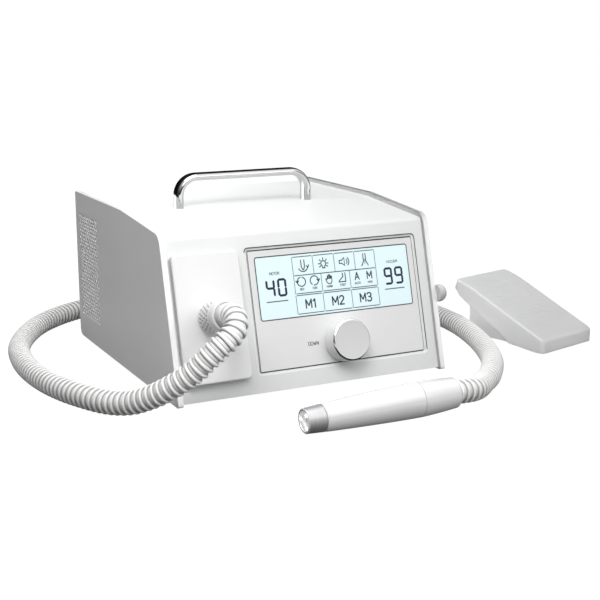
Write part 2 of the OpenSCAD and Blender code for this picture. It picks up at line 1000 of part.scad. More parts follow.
// Points on the port's axis and on the handpiece's axis
function port_point(out) = [
    plate_x,
    front_y + plate_s * sin(lean) - out * cos(lean),
    panel_z + plate_s * cos(lean) + out * sin(lean)
];
function hp_point(u) = [hp_x + u * cos(hp_tilt), hp_y, hp_z + u * sin(hp_tilt)];

// Route of the hose on the floor and up to the port, chosen by hand
floor_z = 11.2;
rising = [
    [-99.5, -178, 91],
    [-101, -188, 88],
    [-105, -194, 82],
    [-112, -196.5, 76],
    [-120, -196, 69.5],
    [-130, -193.5, 60],
    [-139, -189, 50],
    [-148, -183, 41.5],
    [-157, -175, 33.5],
    [-165, -166, 26.5],
    [-173, -156, 20.5],
    [-181, -145, 15.5],
    [-190, -132, 12.5]
];
lying = [
    [-199, -117],
    [-209, -97],
    [-219, -71],
    [-227, -38],
    [-231, 0],
    [-230, 42],
    [-221, 94],
    [-198, 148],
    [-167, 193],
    [-121, 230],
    [-62, 251],
    [0, 257],
    [62, 252],
    [121, 232],
    [170, 197],
    [207, 149],
    [231, 93],
    [241, 40],
    [239, -12],
    [229, -59],
    [210.5, -112],
    [184.5, -164],
    [153.5, -203.5]
];
ending = [
    [133, -222, 12],
    [117, -237, 13.5],
    [102, -246.5, 15.5]
];
route = concat(
    [port_point(hose_out), port_point(hose_out + hose_d / 2), port_point(hose_run)],
    rising,
    [for (p = lying) [p.x, p.y, floor_z]],
    ending,
    [hp_point(cuff_end + hose_d), hp_point(cuff_end + hose_d / 2), hp_point(cuff_end)]);

// Smooth curve through the route, its points a few millimetres apart
steps_between = 12;
last = len(route) - 1;
function along(i, t) =
    let (
        b = route[i],
        c = route[i + 1],
        a = i > 0 ? route[i - 1] : 2 * b - c,
        d = i + 1 < last ? route[i + 2] : 2 * c - b
    )
    b + t / 2 * (c - a)
        + t * t * (a - 2.5 * b + 2 * c - d / 2)
        + t * t * t * (1.5 * b - a / 2 - 1.5 * c + d / 2);
fine = concat(
    [for (i = [0 : last - 1]) for (k = [0 : steps_between - 1]) along(i, k / steps_between)],
    [route[last]]);
function lengths(p, i = 0, sum = 0, out = []) =
    i == len(p)
        ? out
        : lengths(p, i + 1, sum + (i + 1 < len(p) ? norm(p[i + 1] - p[i]) : 0), concat(out, [sum]));
reach = lengths(fine);
hose_l = reach[len(reach) - 1];
line_x = [for (i = [0 : len(fine) - 1]) [reach[i], fine[i].x]];
line_y = [for (i = [0 : len(fine) - 1]) [reach[i], fine[i].y]];
line_z = [for (i = [0 : len(fine) - 1]) [reach[i], fine[i].z]];
function hose_at(s) = [lookup(s, line_x), lookup(s, line_y), lookup(s, line_z)];

// Ring of points round the hose at length s
hose_sides = 8;
function hose_ring(s, r) =
    let (
        ahead = unit(hose_at(min(s + 2, hose_l)) - hose_at(max(s - 2, 0))),
        side = unit(cross(ahead, [0, 0, 1])),
        up = cross(side, ahead)
    )
    [for (k = [0 : hose_sides - 1])
        hose_at(s) + r * (cos(360 * k / hose_sides) * side + sin(360 * k / hose_sides) * up)];

module suction_hose() {
    outer_rings = 2 * hose_ribs;
    outer = [for (i = [0 : outer_rings])
        each hose_ring(hose_l * i / outer_rings, (i % 2 == 1 ? hose_d : hose_valley_d) / 2)];
    inner = [for (i = [0 : hose_ribs]) each hose_ring(hose_l * i / hose_ribs, hose_bore / 2)];
    n = hose_sides;
    first = len(outer);
    end_out = outer_rings * n;
    end_in = first + hose_ribs * n;
    faces = concat(
        [for (i = [0 : outer_rings - 1]) for (k = [0 : n - 1])
            let (a = i * n + k, b = i * n + (k + 1) % n)
            each [[a, b, a + n], [b, b + n, a + n]]],
        [for (i = [0 : hose_ribs - 1]) for (k = [0 : n - 1])
            let (a = first + i * n + k, b = first + i * n + (k + 1) % n)
            each [[a, a + n, b], [b, a + n, b + n]]],
        [for (k = [0 : n - 1])
            let (a = k, b = (k + 1) % n)
            each [[a, first + a, b], [b, first + a, first + b]]],
        [for (k = [0 : n - 1])
            let (a = k, b = (k + 1) % n)
            each [[end_out + a, end_out + b, end_in + a], [end_out + b, end_in + b, end_in + a]]]);
    color("whitesmoke")
        polyhedron(concat(outer, inner), faces);
}

function chamber_outline(wall) =
    let (
        low = base_top + wall,
        high = base_top + chamber_h - wall,
        face = chamber_face + wall
    )
    [
        [front_line(low, face), low],
        [chamber_back - wall, low],
        [chamber_back - wall, high],
        [front_line(high, face), high]
    ];

module filter_chamber() {
    color("lightgray")
        difference() {
            slab(plate_x - chamber_w / 2, plate_x + chamber_w / 2, chamber_outline(0));
            slab(
                plate_x - chamber_w / 2 + chamber_t,
                plate_x + chamber_w / 2 - chamber_t,
                chamber_outline(chamber_t));
            on_front(plate_x, plate_s, spigot_in)
                cylinder(r = spigot_d / 2 + seam, h = -spigot_in);
            on_fan(chamber_back - chamber_t - over)
                cylinder(d = inlet_d, h = chamber_t + 2 * over);
        }
}

// Dust bag that hangs on the inner end of the spigot
module filter_bag() {
    room = chamber_t + 3;
    bag = chamber_outline(room);
    color("beige")
        difference() {
            slab(
                plate_x - chamber_w / 2 + room,
                plate_x + chamber_w / 2 - room,
                rounded(bag, [6, 12, 12, 6]));
            on_front(plate_x, plate_s, spigot_in - 6)
                cylinder(r = spigot_d / 2 + seam, h = 6 - spigot_in);
        }
}

module fan_gasket() {
    color("dimgray")
        on_fan(chamber_back)
            ring(inlet_d / 2 + 6, inlet_d / 2, gasket_t);
}

module fan_case() {
    vents = 10;
    color("silver")
        on_fan(fan_y)
            difference() {
                cylinder(d = fan_d, h = fan_l);
                translate([0, 0, fan_wall])
                    cylinder(d = fan_d - 2 * fan_wall, h = fan_l - 2 * fan_wall);
                translate([0, 0, -over])
                    cylinder(d = inlet_d, h = fan_wall + 2 * over);
                translate([0, 0, fan_l - fan_wall - over])
                    cylinder(r = motor_shaft_d / 2 + seam, h = fan_wall + 2 * over);
                for (i = [0 : vents - 1])
                    rotate([0, 0, 360 * i / vents])
                        translate([motor_d / 2 + (fan_d - motor_d) / 4 - fan_wall / 2, 0, fan_l - fan_wall - over])
                            cylinder(r = 3, h = fan_wall + 2 * over);
            }
}

// Closed suction wheel: two discs with swept vanes between them
module fan_wheel() {
    wheel_r = fan_d / 2 - fan_wall - wheel_gap;
    disc = 1.6;
    high = fan_l - 2 * fan_wall - 2 * wheel_gap;
    vanes = 9;
    vane_r = wheel_r * 0.62;
    eye = inlet_d / 2;
    color("lightsteelblue")
        on_fan(fan_y + fan_wall + wheel_gap)
            difference() {
                union() {
                    ring(wheel_r, eye, disc);
                    translate([0, 0, high - disc])
                        cylinder(r = wheel_r, h = disc);
                    translate([0, 0, disc])
                        cylinder(d = motor_shaft_d + 6, h = high - disc);
                    intersection() {
                        ring(wheel_r, eye, high);
                        for (i = [0 : vanes - 1])
                            rotate([0, 0, 360 * i / vanes])
                                translate([vane_r, 0, 0])
                                    ring(vane_r, vane_r - 1.4, high);
                    }
                }
                translate([0, 0, -over])
                    cylinder(r = motor_shaft_d / 2 + play, h = high + 2 * over);
            }
}

module motor_can() {
    color("silver")
        on_fan(motor_y)
            difference() {
                cylinder(d = motor_d, h = motor_l);
                translate([0, 0, motor_wall])
                    cylinder(d = motor_d - 2 * motor_wall, h = motor_l - 2 * motor_wall);
                translate([0, 0, -over])
                    cylinder(r = motor_shaft_d / 2 + play, h = motor_l + 2 * over);
            }
}

module motor_stator() {
    color("chocolate")
        on_fan(motor_y + motor_wall + rotor_end)
            ring(motor_d / 2 - motor_wall - play, rotor_d / 2 + 0.8, motor_l - 2 * (motor_wall + rotor_end));
}

// Rotor and the shaft that carries the suction wheel
module motor_rotor() {
    tip = fan_wall + wheel_gap;
    color("dimgray")
        on_fan(fan_y + tip)
            union() {
                cylinder(d = motor_shaft_d, h = fan_l - tip + motor_l);
                translate([0, 0, fan_l - tip + motor_wall + rotor_end])
                    cylinder(d = rotor_d, h = motor_l - 2 * (motor_wall + rotor_end));
            }
}

// Saddle that carries the suction motor on the base plate
module motor_cradle() {
    saddle_l = motor_l - 2 * saddle_in;
    saddle_w = motor_d * 0.7;
    color("dimgray")
        difference() {
            translate([fan_x - saddle_w / 2, motor_y + saddle_in, base_top])
                cube([saddle_w, saddle_l, fan_z - base_top - motor_d * 0.3]);
            on_fan(motor_y)
                cylinder(r = motor_d / 2 + play, h = motor_l);
        }
}

module psu_board() {
    color("darkgreen")
        translate([psu_x, psu_y, psu_z])
            cube([psu_w, psu_l, board_t]);
}

module transformer() {
    color("goldenrod")
        translate([psu_x + coil_over, psu_y + 2 * coil_over, psu_z + board_t])
            union() {
                cube([core_w, core_l, core_h]);
                translate([coil_over, -coil_over, 0])
                    cube([core_w - 2 * coil_over, core_l + 2 * coil_over, core_h - 1.5 * coil_over]);
            }
}

module heat_sink() {
    fins = 7;
    fin_t = 1.6;
    pitch = 5;
    deep = 14;
    high = 44;
    back_t = 3;
    color("silver")
        translate([psu_x + psu_w - sink_in, psu_y + sink_front, psu_z + board_t])
            union() {
                cube([back_t, fins * pitch - pitch + fin_t, high]);
                for (i = [0 : fins - 1])
                    translate([-deep, i * pitch, 0])
                        cube([deep + over, fin_t, high]);
            }
}

module capacitors() {
    color("navy")
        for (i = [0 : 2])
            translate([
                psu_x + cap_gap + cap_d / 2 + i * (cap_d + cap_gap),
                psu_y + psu_l - cap_gap - cap_d / 2,
                psu_z + board_t
            ])
                cylinder(d = cap_d, h = cap_h);
}

// Outer radius of the handpiece at place u
function hp_r(u) = u < hp_seam
    ? hp_max_d / 2 - (hp_max_d - hp_ring_d) / 2 * pow((hp_seam - u) / (hp_seam - sleeve_at), 1.4)
    : hp_max_d / 2 - (hp_max_d - hp_rear_d) / 2 * pow((u - hp_seam) / (hp_l - hp_seam), 1.6);

module nose_ring() {
    chamfer = 0.9;
    color("silver")
        on_handpiece()
            rotate_extrude($fn = 96)
                polygon([
                    [ring_bore, 0],
                    [hp_nose_d / 2 - chamfer, 0],
                    [hp_nose_d / 2, chamfer],
                    [hp_ring_d / 2 - 0.4, hp_ring_l - chamfer],
                    [hp_ring_d / 2 - chamfer, hp_ring_l],
                    [ring_bore, hp_ring_l]
                ]);
}

module at_lights() {
    for (a = [90, 210, 330])
        rotate([0, 0, a])
            translate([(mouth_r + insert_r) / 2, 0, 0])
                children();
}

module nose_insert() {
    face = 0.8;
    color("dimgray")
        on_handpiece()
            difference() {
                rotate_extrude()
                    polygon([
                        [mouth_r, face],
                        [insert_r, face],
                        [insert_r, insert_l],
                        [insert_r - 1.4, insert_l],
                        [insert_r - 1.4, 7],
                        [mouth_r, 5]
                    ]);
                at_lights()
                    cylinder(r = light_r + play, h = 3.2);
            }
}

module nose_lights() {
    color("white")
        on_handpiece()
            at_lights()
                translate([0, 0, 0.6])
                    cylinder(r = light_r, h = 2.6);
}

module front_sleeve() {
    parts = 10;
    groove = 0.4;
    color("white")
        on_handpiece()
            rotate_extrude($fn = 96)
                polygon(concat(
                    [[insert_r + play, sleeve_at]],
                    [for (i = [0 : parts - 1])
                        let (u = sleeve_at + (hp_seam - groove - sleeve_at) * i / (parts - 1))
                        [hp_r(u), u]],
                    [
                        [hp_max_d / 2 - groove, hp_seam],
                        [sleeve_bore, hp_seam],
                        [sleeve_bore, insert_l + 2],
                        [insert_r + play, insert_l + 2]
                    ]));
}

module rear_sleeve() {
    parts = 7;
    groove = 0.4;
    lip = 3;
    color("white")
        on_handpiece()
            rotate_extrude($fn = 96)
                polygon(concat(
                    [[rear_bore, hp_seam], [hp_max_d / 2 - groove, hp_seam]],
                    [for (i = [0 : parts - 1])
                        let (u = hp_seam + groove + (hp_l - 1 - hp_seam - groove) * i / (parts - 1))
                        [hp_r(u), u]],
                    [
                        [hp_rear_d / 2 - 0.8, hp_l],
                        [hose_d / 2 + 2 * seam, hp_l],
                        [hose_d / 2 + 2 * seam, hp_l - lip],
                        [rear_bore, hp_l - lip]
                    ]));
}

// Seat of the hose inside the rear sleeve
module hose_cuff() {
    color("dimgray")
        on_handpiece()
            translate([0, 0, cuff_end - cuff_l])
                ring(rear_bore - play, spigot_bore / 2, cuff_l);
}

module drill_motor() {
    wall = 1.2;
    color("silver")
        on_handpiece()
            translate([0, 0, drill_at])
                difference() {
                    cylinder(d = drill_d, h = drill_l);
                    translate([0, 0, wall])
                        cylinder(d = drill_d - 2 * wall, h = drill_l - 2 * wall);
                    translate([0, 0, -over])
                        cylinder(r = bearing_r + play, h = drill_l + 2 * over);
                }
}

bearing_r = 5;
bearing_l = 4;

module drill_bearings() {
    color("silver")
        on_handpiece()
            for (u = [drill_at, drill_at + drill_l - bearing_l])
                translate([0, 0, u])
                    ring(bearing_r, spindle_d / 2 + play, bearing_l);
}

// Chuck, shaft and rotor turn as one
module drill_spindle() {
    chuck_end = chuck_at + chuck_l + 3;
    rotor_r = drill_d / 2 - 2.4;
    color("dimgray")
        on_handpiece()
            difference() {
                union() {
                    translate([0, 0, chuck_at])
                        cylinder(d = chuck_d, h = chuck_end - chuck_at);
                    translate([0, 0, chuck_end - over])
                        cylinder(d = spindle_d, h = drill_at + drill_l + 2 - chuck_end + over);
                    translate([0, 0, drill_at + bearing_l + 6])
                        cylinder(r = rotor_r, h = drill_l - 2 * bearing_l - 12);
                }
                translate([0, 0, chuck_at - over])
                    cylinder(r = shank_d / 2 + play / 2, h = chuck_l + over);
            }
}

// Open rings that hold the drill motor in the air stream
module motor_spacers() {
    ports = 6;
    long = 5;
    color("dimgray")
        on_handpiece()
            for (u = [drill_at + 8, drill_at + drill_l - 8 - long])
                translate([0, 0, u])
                    difference() {
                        ring(sleeve_bore - play, drill_d / 2 + play, long);
                        for (i = [0 : ports - 1])
                            rotate([0, 0, 360 * i / ports])
                                translate([(sleeve_bore + drill_d / 2) / 2, 0, -over])
                                    cylinder(r = 0.8, h = long + 2 * over);
                    }
}

// Solid of the treadle's outline, with its corners rounded as seen from above
module treadle_body() {
    back_out = 3;
    intersection() {
        slab(0, ped_w, rounded(
            [
                [0, ped_foot],
                [0, ped_front_h],
                [crown_y, crown_z],
                [ped_l, ped_back_h],
                [ped_l + back_out, lip_z],
                [ped_l - lip_in, ped_back_h - skirt_h],
                [skirt_toe, ped_foot + (skirt_toe - pin_y) * tan(ped_press)],
                [pin_y, ped_foot]
            ],
            [1, 4, 0, 3, 1, 1, 0, 0]));
        translate([ped_mid, (ped_l + back_out) / 2, 0])
            linear_extrude(ped_back_h + over)
                round_box(ped_w, ped_l + back_out, ped_corner_r);
    }
}

module pedal_treadle() {
    lip_y = ped_l - lip_in - ped_wall;
    under = [
        [ped_wall, -over],
        [ped_wall, roof_z(ped_wall) - roof_t],
        [crown_y, crown_z - roof_t],
        [ped_l - ped_wall, ped_back_h - ped_wall - crown_fall / crown_l * ped_wall],
        [ped_l - ped_wall, lip_z],
        [lip_y, ped_back_h - skirt_h - over],
        [lip_y, -over]
    ];
    color("lightgray")
        on_pedal()
            difference() {
                union() {
                    treadle_body();
                    for (i = [0 : grip_lines - 1])
                        translate([grip_side, crown_y - i * grip_pitch, roof_z(crown_y - i * grip_pitch)])
                            rotate([roof_angle, 0, 0])
                                translate([0, -grip_w / 2, -grip_h])
                                    cube([ped_w - 2 * grip_side, grip_w, 2 * grip_h]);
                }
                slab(ped_wall, ped_w - ped_wall, under);
                translate([ped_wall - pin_blind, pin_y, pin_z])
                    rotate([0, 90, 0])
                        cylinder(r = ped_pin_d / 2 + play, h = ped_w - 2 * (ped_wall - pin_blind));
            }
}

module pedal_base() {
    ear = pin_z + ped_pin_d / 2 + 1.5;
    ear_l = 6;
    lead_d = 6;
    color("silver")
        on_pedal()
            difference() {
                slab(ped_mid - tray_half, ped_mid + tray_half, [
                    [tray_front, ped_foot],
                    [tray_back, ped_foot],
                    [tray_back, tray_back_h],
                    [pin_y + 2 * ear_l, ear - 1],
                    [pin_y + ear_l, ear],
                    [pin_y - ear_l / 3, ear],
                    [tray_front, ear - 1.5]
                ]);
                translate([ped_mid - tray_half + ped_wall, tray_front + ped_wall, ped_foot + ped_wall])
                    cube([2 * (tray_half - ped_wall), tray_back - tray_front - 2 * ped_wall, ped_back_h]);
                translate([ped_mid - tray_half - over, pin_y, pin_z])
                    rotate([0, 90, 0])
                        cylinder(r = ped_pin_d / 2 + play, h = 2 * (tray_half + over));
                translate([ped_mid, tray_back - ped_wall - over, ped_foot + 2 * lead_d])
                    rotate([-90, 0, 0])
                        cylinder(d = lead_d, h = ped_wall + 2 * over);
            }
}

module pedal_pin() {
    long = ped_w - 2 * (ped_wall - pin_blind) - 2 * play;
    color("silver")
        on_pedal()
            translate([ped_mid - long / 2, pin_y, pin_z])
                rotate([0, 90, 0])
                    cylinder(d = ped_pin_d, h = long);
}

// Return spring, drawn as the sleeve that its coils fill
module pedal_spring() {
    low = ped_foot + ped_wall;
    high = roof_z(spring_y - spring_r) - roof_t - seam;
    color("silver")
        on_pedal()
            translate([ped_mid, spring_y, low])
                ring(spring_r, spring_r - 1.2, high - low);
}

module pedal_sensor() {
    wide = 30;
    deep = 24;
    chip_w = 6;
    color("darkgreen")
        on_pedal()
            translate([ped_mid - wide / 2, sensor_y - deep / 2, ped_foot + ped_wall])
                union() {
                    cube([wide, deep, 2 * board_t]);
                    translate([(wide - chip_w) / 2, (deep - chip_w) / 2, 0])
                        cube([chip_w, chip_w, 5 * board_t]);
                }
}

module pedal_magnet() {
    magnet_h = 3;
    magnet_r = 4;
    color("dimgray")
        on_pedal()
            translate([ped_mid, sensor_y, roof_z(sensor_y)])
                rotate([roof_angle, 0, 0])
                    translate([0, 0, -ped_wall - magnet_h])
                        cylinder(r = magnet_r, h = magnet_h);
}

module pedal_feet() {
    color("dimgray")
        on_pedal()
            for (x = [-1, 1] * (tray_half - ped_foot_d))
                for (y = [tray_front + ped_foot_d, tray_back - ped_foot_d])
                    translate([ped_mid + x, y, 0])
                        cylinder(d1 = ped_foot_d, d2 = ped_foot_d + 2, h = ped_foot);
}

base_plate();
rubber_feet();
corner_blocks();
base_screws();
cover();
left_panel();
right_panel();
rear_panel();
holder_peg();
carry_handle();
handle_screws();
display_panel();
lcd_glass();
lcd_module();
control_board();
board_posts();
encoder();
encoder_shaft();
control_knob();
port_plate();
hose_spigot();
spigot_ring();
hose_collar();
suction_hose();
filter_chamber();
filter_bag();
fan_gasket();
fan_case();
fan_wheel();
motor_can();
motor_stator();
motor_rotor();
motor_cradle();
psu_board();
transformer();
heat_sink();
capacitors();
mains_inlet();
rocker_frame();
power_rocker();
pedal_jack();
nose_ring();
nose_insert();
nose_lights();
front_sleeve();
rear_sleeve();
hose_cuff();
drill_motor();
drill_bearings();
drill_spindle();
motor_spacers();
pedal_treadle();
pedal_base();
pedal_pin();
pedal_spring();
pedal_sensor();
pedal_magnet();
pedal_feet();
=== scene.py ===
"""Dresses a tabletop rotary-drill unit with suction: housing, display, port, hose, handpiece, pedal.

Sizes are in millimetres in the part's own frame and become metres when a mesh is made.
"""

from __future__ import annotations

import logging
from dataclasses import dataclass, field
from enum import Enum
from functools import cache
from typing import Callable, Iterable, Sequence

import bmesh
import bpy
import numpy as np
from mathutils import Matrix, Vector
from mathutils.geometry import delaunay_2d_cdt


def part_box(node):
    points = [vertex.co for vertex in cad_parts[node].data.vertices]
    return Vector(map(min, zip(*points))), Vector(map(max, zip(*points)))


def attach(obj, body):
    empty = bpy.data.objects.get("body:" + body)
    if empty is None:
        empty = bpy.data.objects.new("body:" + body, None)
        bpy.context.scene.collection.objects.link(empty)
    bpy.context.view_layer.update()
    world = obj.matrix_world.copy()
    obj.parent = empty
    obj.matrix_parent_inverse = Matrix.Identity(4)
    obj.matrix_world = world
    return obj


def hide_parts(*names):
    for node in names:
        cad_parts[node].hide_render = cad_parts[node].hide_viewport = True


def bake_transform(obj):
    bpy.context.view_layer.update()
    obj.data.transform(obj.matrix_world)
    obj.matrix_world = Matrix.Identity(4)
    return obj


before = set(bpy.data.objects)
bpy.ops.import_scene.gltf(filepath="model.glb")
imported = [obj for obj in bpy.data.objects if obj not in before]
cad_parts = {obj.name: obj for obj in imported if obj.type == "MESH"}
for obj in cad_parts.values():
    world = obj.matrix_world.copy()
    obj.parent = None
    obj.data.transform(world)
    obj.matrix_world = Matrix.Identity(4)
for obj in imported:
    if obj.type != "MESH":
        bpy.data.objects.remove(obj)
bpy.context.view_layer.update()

LOG = logging.getLogger("rotary_unit")
MM = 0.001
TURN = 2.0 * np.pi
UP = np.array([0.0, 0.0, 1.0])
WHITE = (1.0, 1.0, 1.0, 1.0)
# Name of the point attribute that says how much painted shade a point takes.
PAINTED_SHADE = "valley"
BORDER = 0.3
CHAMFER = 0.25
OVERRUN = 0.3
MITRE_LEAST = 0.5
SAME_POINT = 1e-6
MERGE = 2e-6
SLIVER = 1e-7
NOISE_LOW, NOISE_HIGH = 0.3, 0.7
ROUGH_LEAST = 0.01
COAT_ROUGH = 0.08
BUMP_DEEP = 0.0002

Place = Callable[[np.ndarray], np.ndarray]
Node = bpy.types.Node
Socket = bpy.types.NodeSocket
Triple = tuple[float, float, float]
Stops = Sequence[tuple[float, Sequence[float]]]


class Body(Enum):
    """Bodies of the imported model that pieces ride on."""

    UNIT = "unit"
    KNOB = "knob"
    COLLAR = "union_collar"
    NOSE = "nose"
    TREADLE = "treadle"


class Look(Enum):
    """How a surface takes light."""

    COATED = "coated"
    METAL = "metal"
    LIT = "lit"


def grey(v: float) -> Triple:
    """Gives a neutral colour."""
    return v, v, v


def linear(rgb: Sequence[float]) -> tuple[float, float, float, float]:
    """Turns display values from 0 to 1 into linear light.

    Args:
        rgb: red, green and blue as a screen shows them.

    Returns:
        Linear red, green, blue and a full alpha.
    """
    c = np.asarray(rgb, float)
    out = np.where(c <= 0.04045, c / 12.92, ((c + 0.055) / 1.055) ** 2.4)
    return (*(float(v) for v in out), 1.0)


@dataclass
class Graph:
    """A node tree that grows by nodes whose inputs are set or linked as they are added."""

    tree: bpy.types.NodeTree

    def set(self, node: Node, inputs: dict) -> Node:
        """Gives a node's inputs their values, or links those for which a socket is given.

        Args:
            node: the node.
            inputs: a value or a socket for each input, by its name or number.

        Returns:
            The same node.
        """
        for key, value in inputs.items():
            if isinstance(value, Socket):
                self.tree.links.new(value, node.inputs[key])
            else:
                node.inputs[key].default_value = value
        return node

    def add(self, kind: str, inputs: dict | None = None, **traits: str) -> Node:
        """Adds a shader node.

        Args:
            kind: its type, without the common beginning.
            inputs: a value or a socket for each input.
            traits: its own settings, which come before the inputs.

        Returns:
            The node.
        """
        node = self.tree.nodes.new(f"ShaderNode{kind}")
        for key, value in traits.items():
            setattr(node, key, value)
        return self.set(node, inputs or {})

    def ramp(self, value: Socket, stops: Stops) -> Socket:
        """Adds a colour ramp that is read at a value.

        Args:
            value: the socket that it reads.
            stops: places from 0 to 1 with their colours.

        Returns:
            The colour's socket.
        """
        node = self.add("ValToRGB", {"Fac": value})
        for _ in stops[2:]:
            node.color_ramp.elements.new(0.5)
        for element, (at, colour) in zip(node.color_ramp.elements, stops):
            element.position, element.color = at, colour
        return node.outputs["Color"]

    def greys(self, value: Socket, stops: Sequence[tuple[float, float]]) -> Socket:
        """Adds a ramp of greys."""
        return self.ramp(value, [(at, (*grey(v), 1.0)) for at, v in stops])

    def blend(self, way: str, a: Socket, b: Socket | Sequence[float]) -> Socket:
        """Adds or multiplies two colours."""
        return self.add("Mix", {"Factor": 1.0, "A": a, "B": b}, data_type="RGBA", blend_type=way).outputs["Result"]

    def by_ray(self, sink: str, plain: Node, mirrored: Node, seen: Node) -> None:
        """Ends the tree in one of three shaders, by the kind of ray that meets it.

        Args:
            sink: name of the output node.
            plain: what lights other surfaces.
            mirrored: what a glossy surface sees.
            seen: what the camera sees.
        """
        path = self.add("LightPath").outputs
        shine = self.add("MixShader", {0: path["Is Glossy Ray"], 1: plain.outputs[0], 2: mirrored.outputs[0]})
        both = self.add("MixShader", {0: path["Is Camera Ray"], 1: shine.outputs[0], 2: seen.outputs[0]})
        self.set(self.tree.nodes[sink], {"Surface": both.outputs[0]})


@dataclass(frozen=True)
class Finish:
    """A surface finish.

    After its name and colour come its roughness and how far that varies, how far the colour drifts and over how
    many patches to the metre, and the waves to the metre and the strength of its fine bump.
    """

    name: str
    colour: Triple
    rough: float
    spread: float
    drift: float
    patches: float
    grain: float
    bump: float
    look: Look = Look.COATED
    shine: float = 0.5
    coat: float = 0.0
    stretch: Triple = grey(1.0)
    glow: float = 0.0
    dim: float = 1.0
    through: float = 0.0
    reach: float = 0.004
    # tint: colour of painted shade, mixed in where the PAINTED_SHADE attribute is high.
    tint: Triple | None = None

    @cache
    def material(self) -> bpy.types.Material:
        """Makes the node material once and hands it back afterwards.

        Returns:
            The material, with colour drift, gloss as uneven as handling leaves it, and a fine bump from noise.
        """
        mat = bpy.data.materials.new(self.name)
        mat.use_nodes = True
        graph = Graph(mat.node_tree)
        place = graph.add("TexCoord").outputs["Object"]
        aim = graph.add("Mapping", {"Vector": place, "Scale": self.stretch}).outputs["Vector"]
        drift, wear, grain = (
            graph.add("TexNoise", {"Vector": aim, "Scale": scale, "Detail": detail}).outputs["Fac"]
            for scale, detail in ((self.patches, 3.0), (self.patches * 4.0, 4.0), (self.grain, 2.0)))
        gloss = graph.add("MapRange", {
            "Value": wear, "From Min": NOISE_LOW, "From Max": NOISE_HIGH,
            "To Min": max(self.rough - self.spread, ROUGH_LEAST), "To Max": self.rough + self.spread})
        relief = graph.add("Bump", {"Height": grain, "Strength": self.bump, "Distance": BUMP_DEEP})
        shader = graph.set(mat.node_tree.nodes["Principled BSDF"], {
            "Base Color": self.drifting(graph, drift), "Roughness": gloss.outputs["Result"],
            "Normal": relief.outputs["Normal"], "Metallic": float(self.look is Look.METAL),
            "Specular IOR Level": self.shine, "Coat Weight": self.coat, "Coat Roughness": COAT_ROUGH,
            "Subsurface Weight": self.through, "Subsurface Radius": grey(1.0), "Subsurface Scale": self.reach})
        if self.look is Look.LIT:
            graph.set(shader, {"Emission Color": linear(self.colour), "Emission Strength": self.glow})
        return mat

    def drifting(self, graph: Graph, noise: Socket) -> Socket:
        """Lets the colour drift lighter and darker with a noise, and take the tint as painted shade where the shade
        attribute is high.

        Args:
            graph: the material's tree.
            noise: the noise's socket.

        Returns:
            The colour's socket.
        """
        base = np.asarray(self.colour) * self.dim
        dark, light = (linear(np.clip(base + d, 0.0, 1.0)) for d in (-self.drift, self.drift * 0.5))
        colour = graph.ramp(noise, [(NOISE_LOW, dark), (NOISE_HIGH, light)])
        if self.tint is None:
            return colour
        # Painted shade: the colour mixes towards the tint by the attribute.
        depth = graph.add("Attribute", attribute_name=PAINTED_SHADE).outputs["Fac"]
        mix = graph.add("Mix", {"Factor": depth, "A": colour, "B": linear(self.tint)}, data_type="RGBA")
        return mix.outputs["Result"]


COVER_PAINT = Finish("cover_paint", (0.935, 0.94, 0.937), 0.3, 0.015, 0.006, 9.0, 700.0, 0.02, shine=0.25)
PANEL_PAINT = Finish("panel_paint", (0.935, 0.935, 0.938), 0.44, 0.05, 0.01, 9.0, 1500.0, 0.1, shine=0.25)
EDGE_PAINT = Finish("edge_paint", grey(0.95), 0.36, 0.04, 0.006, 9.0, 1500.0, 0.05, shine=0.25)
VENT_WHITE = Finish("vent_white", grey(0.835), 0.5, 0.04, 0.006, 30.0, 1500.0, 0.05, shine=0.25)
# Its tint is painted shade on the plate's wall.
PLATE_WHITE = Finish(
    "plate_white", grey(0.96), 0.32, 0.04, 0.006, 12.0, 1100.0, 0.03, shine=0.35, tint=(0.70, 0.70, 0.705))
# Its tint is painted shade in the collar's pits.
COLLAR_WHITE = Finish("collar_white", grey(0.93), 0.38, 0.05, 0.015, 30.0, 1600.0, 0.06, tint=grey(0.7))
DISPLAY_FILM = Finish("display_film", grey(0.95), 0.42, 0.04, 0.008, 11.0, 2400.0, 0.05, shine=0.3)
SCREEN_GLASS = Finish(
    "screen_glass", (0.905, 0.985, 1.0), 0.22, 0.02, 0.006, 16.0, 500.0, 0.004, Look.LIT, glow=0.68, dim=0.6)
INK_NAVY = Finish("ink_navy", (0.012, 0.055, 0.24), 0.6, 0.03, 0.02, 60.0, 1500.0, 0.02)
INK_GREY = Finish("ink_grey", (0.13, 0.15, 0.18), 0.6, 0.03, 0.03, 60.0, 1500.0, 0.02)
INK_PALE = Finish("ink_pale", (0.33, 0.37, 0.40), 0.6, 0.03, 0.03, 60.0, 1500.0, 0.02)
# Dark seams and gasket, and also a painted shadow line at the display recess.
SEAM_AND_SHADOW_DARK = Finish("seam_and_shadow_dark", (0.24, 0.24, 0.25), 0.6, 0.03, 0.03, 40.0, 1500.0, 0.04)
KNOB_SATIN = Finish("knob_satin", grey(0.89), 0.34, 0.05, 0.012, 25.0, 2600.0, 0.05)
CHROME = Finish("chrome", (0.72, 0.72, 0.725), 0.07, 0.015, 0.02, 20.0, 60.0, 0.01, Look.METAL)
RING_METAL = Finish("ring_metal", (0.88, 0.88, 0.885), 0.13, 0.03, 0.03, 40.0, 900.0, 0.04, Look.METAL)
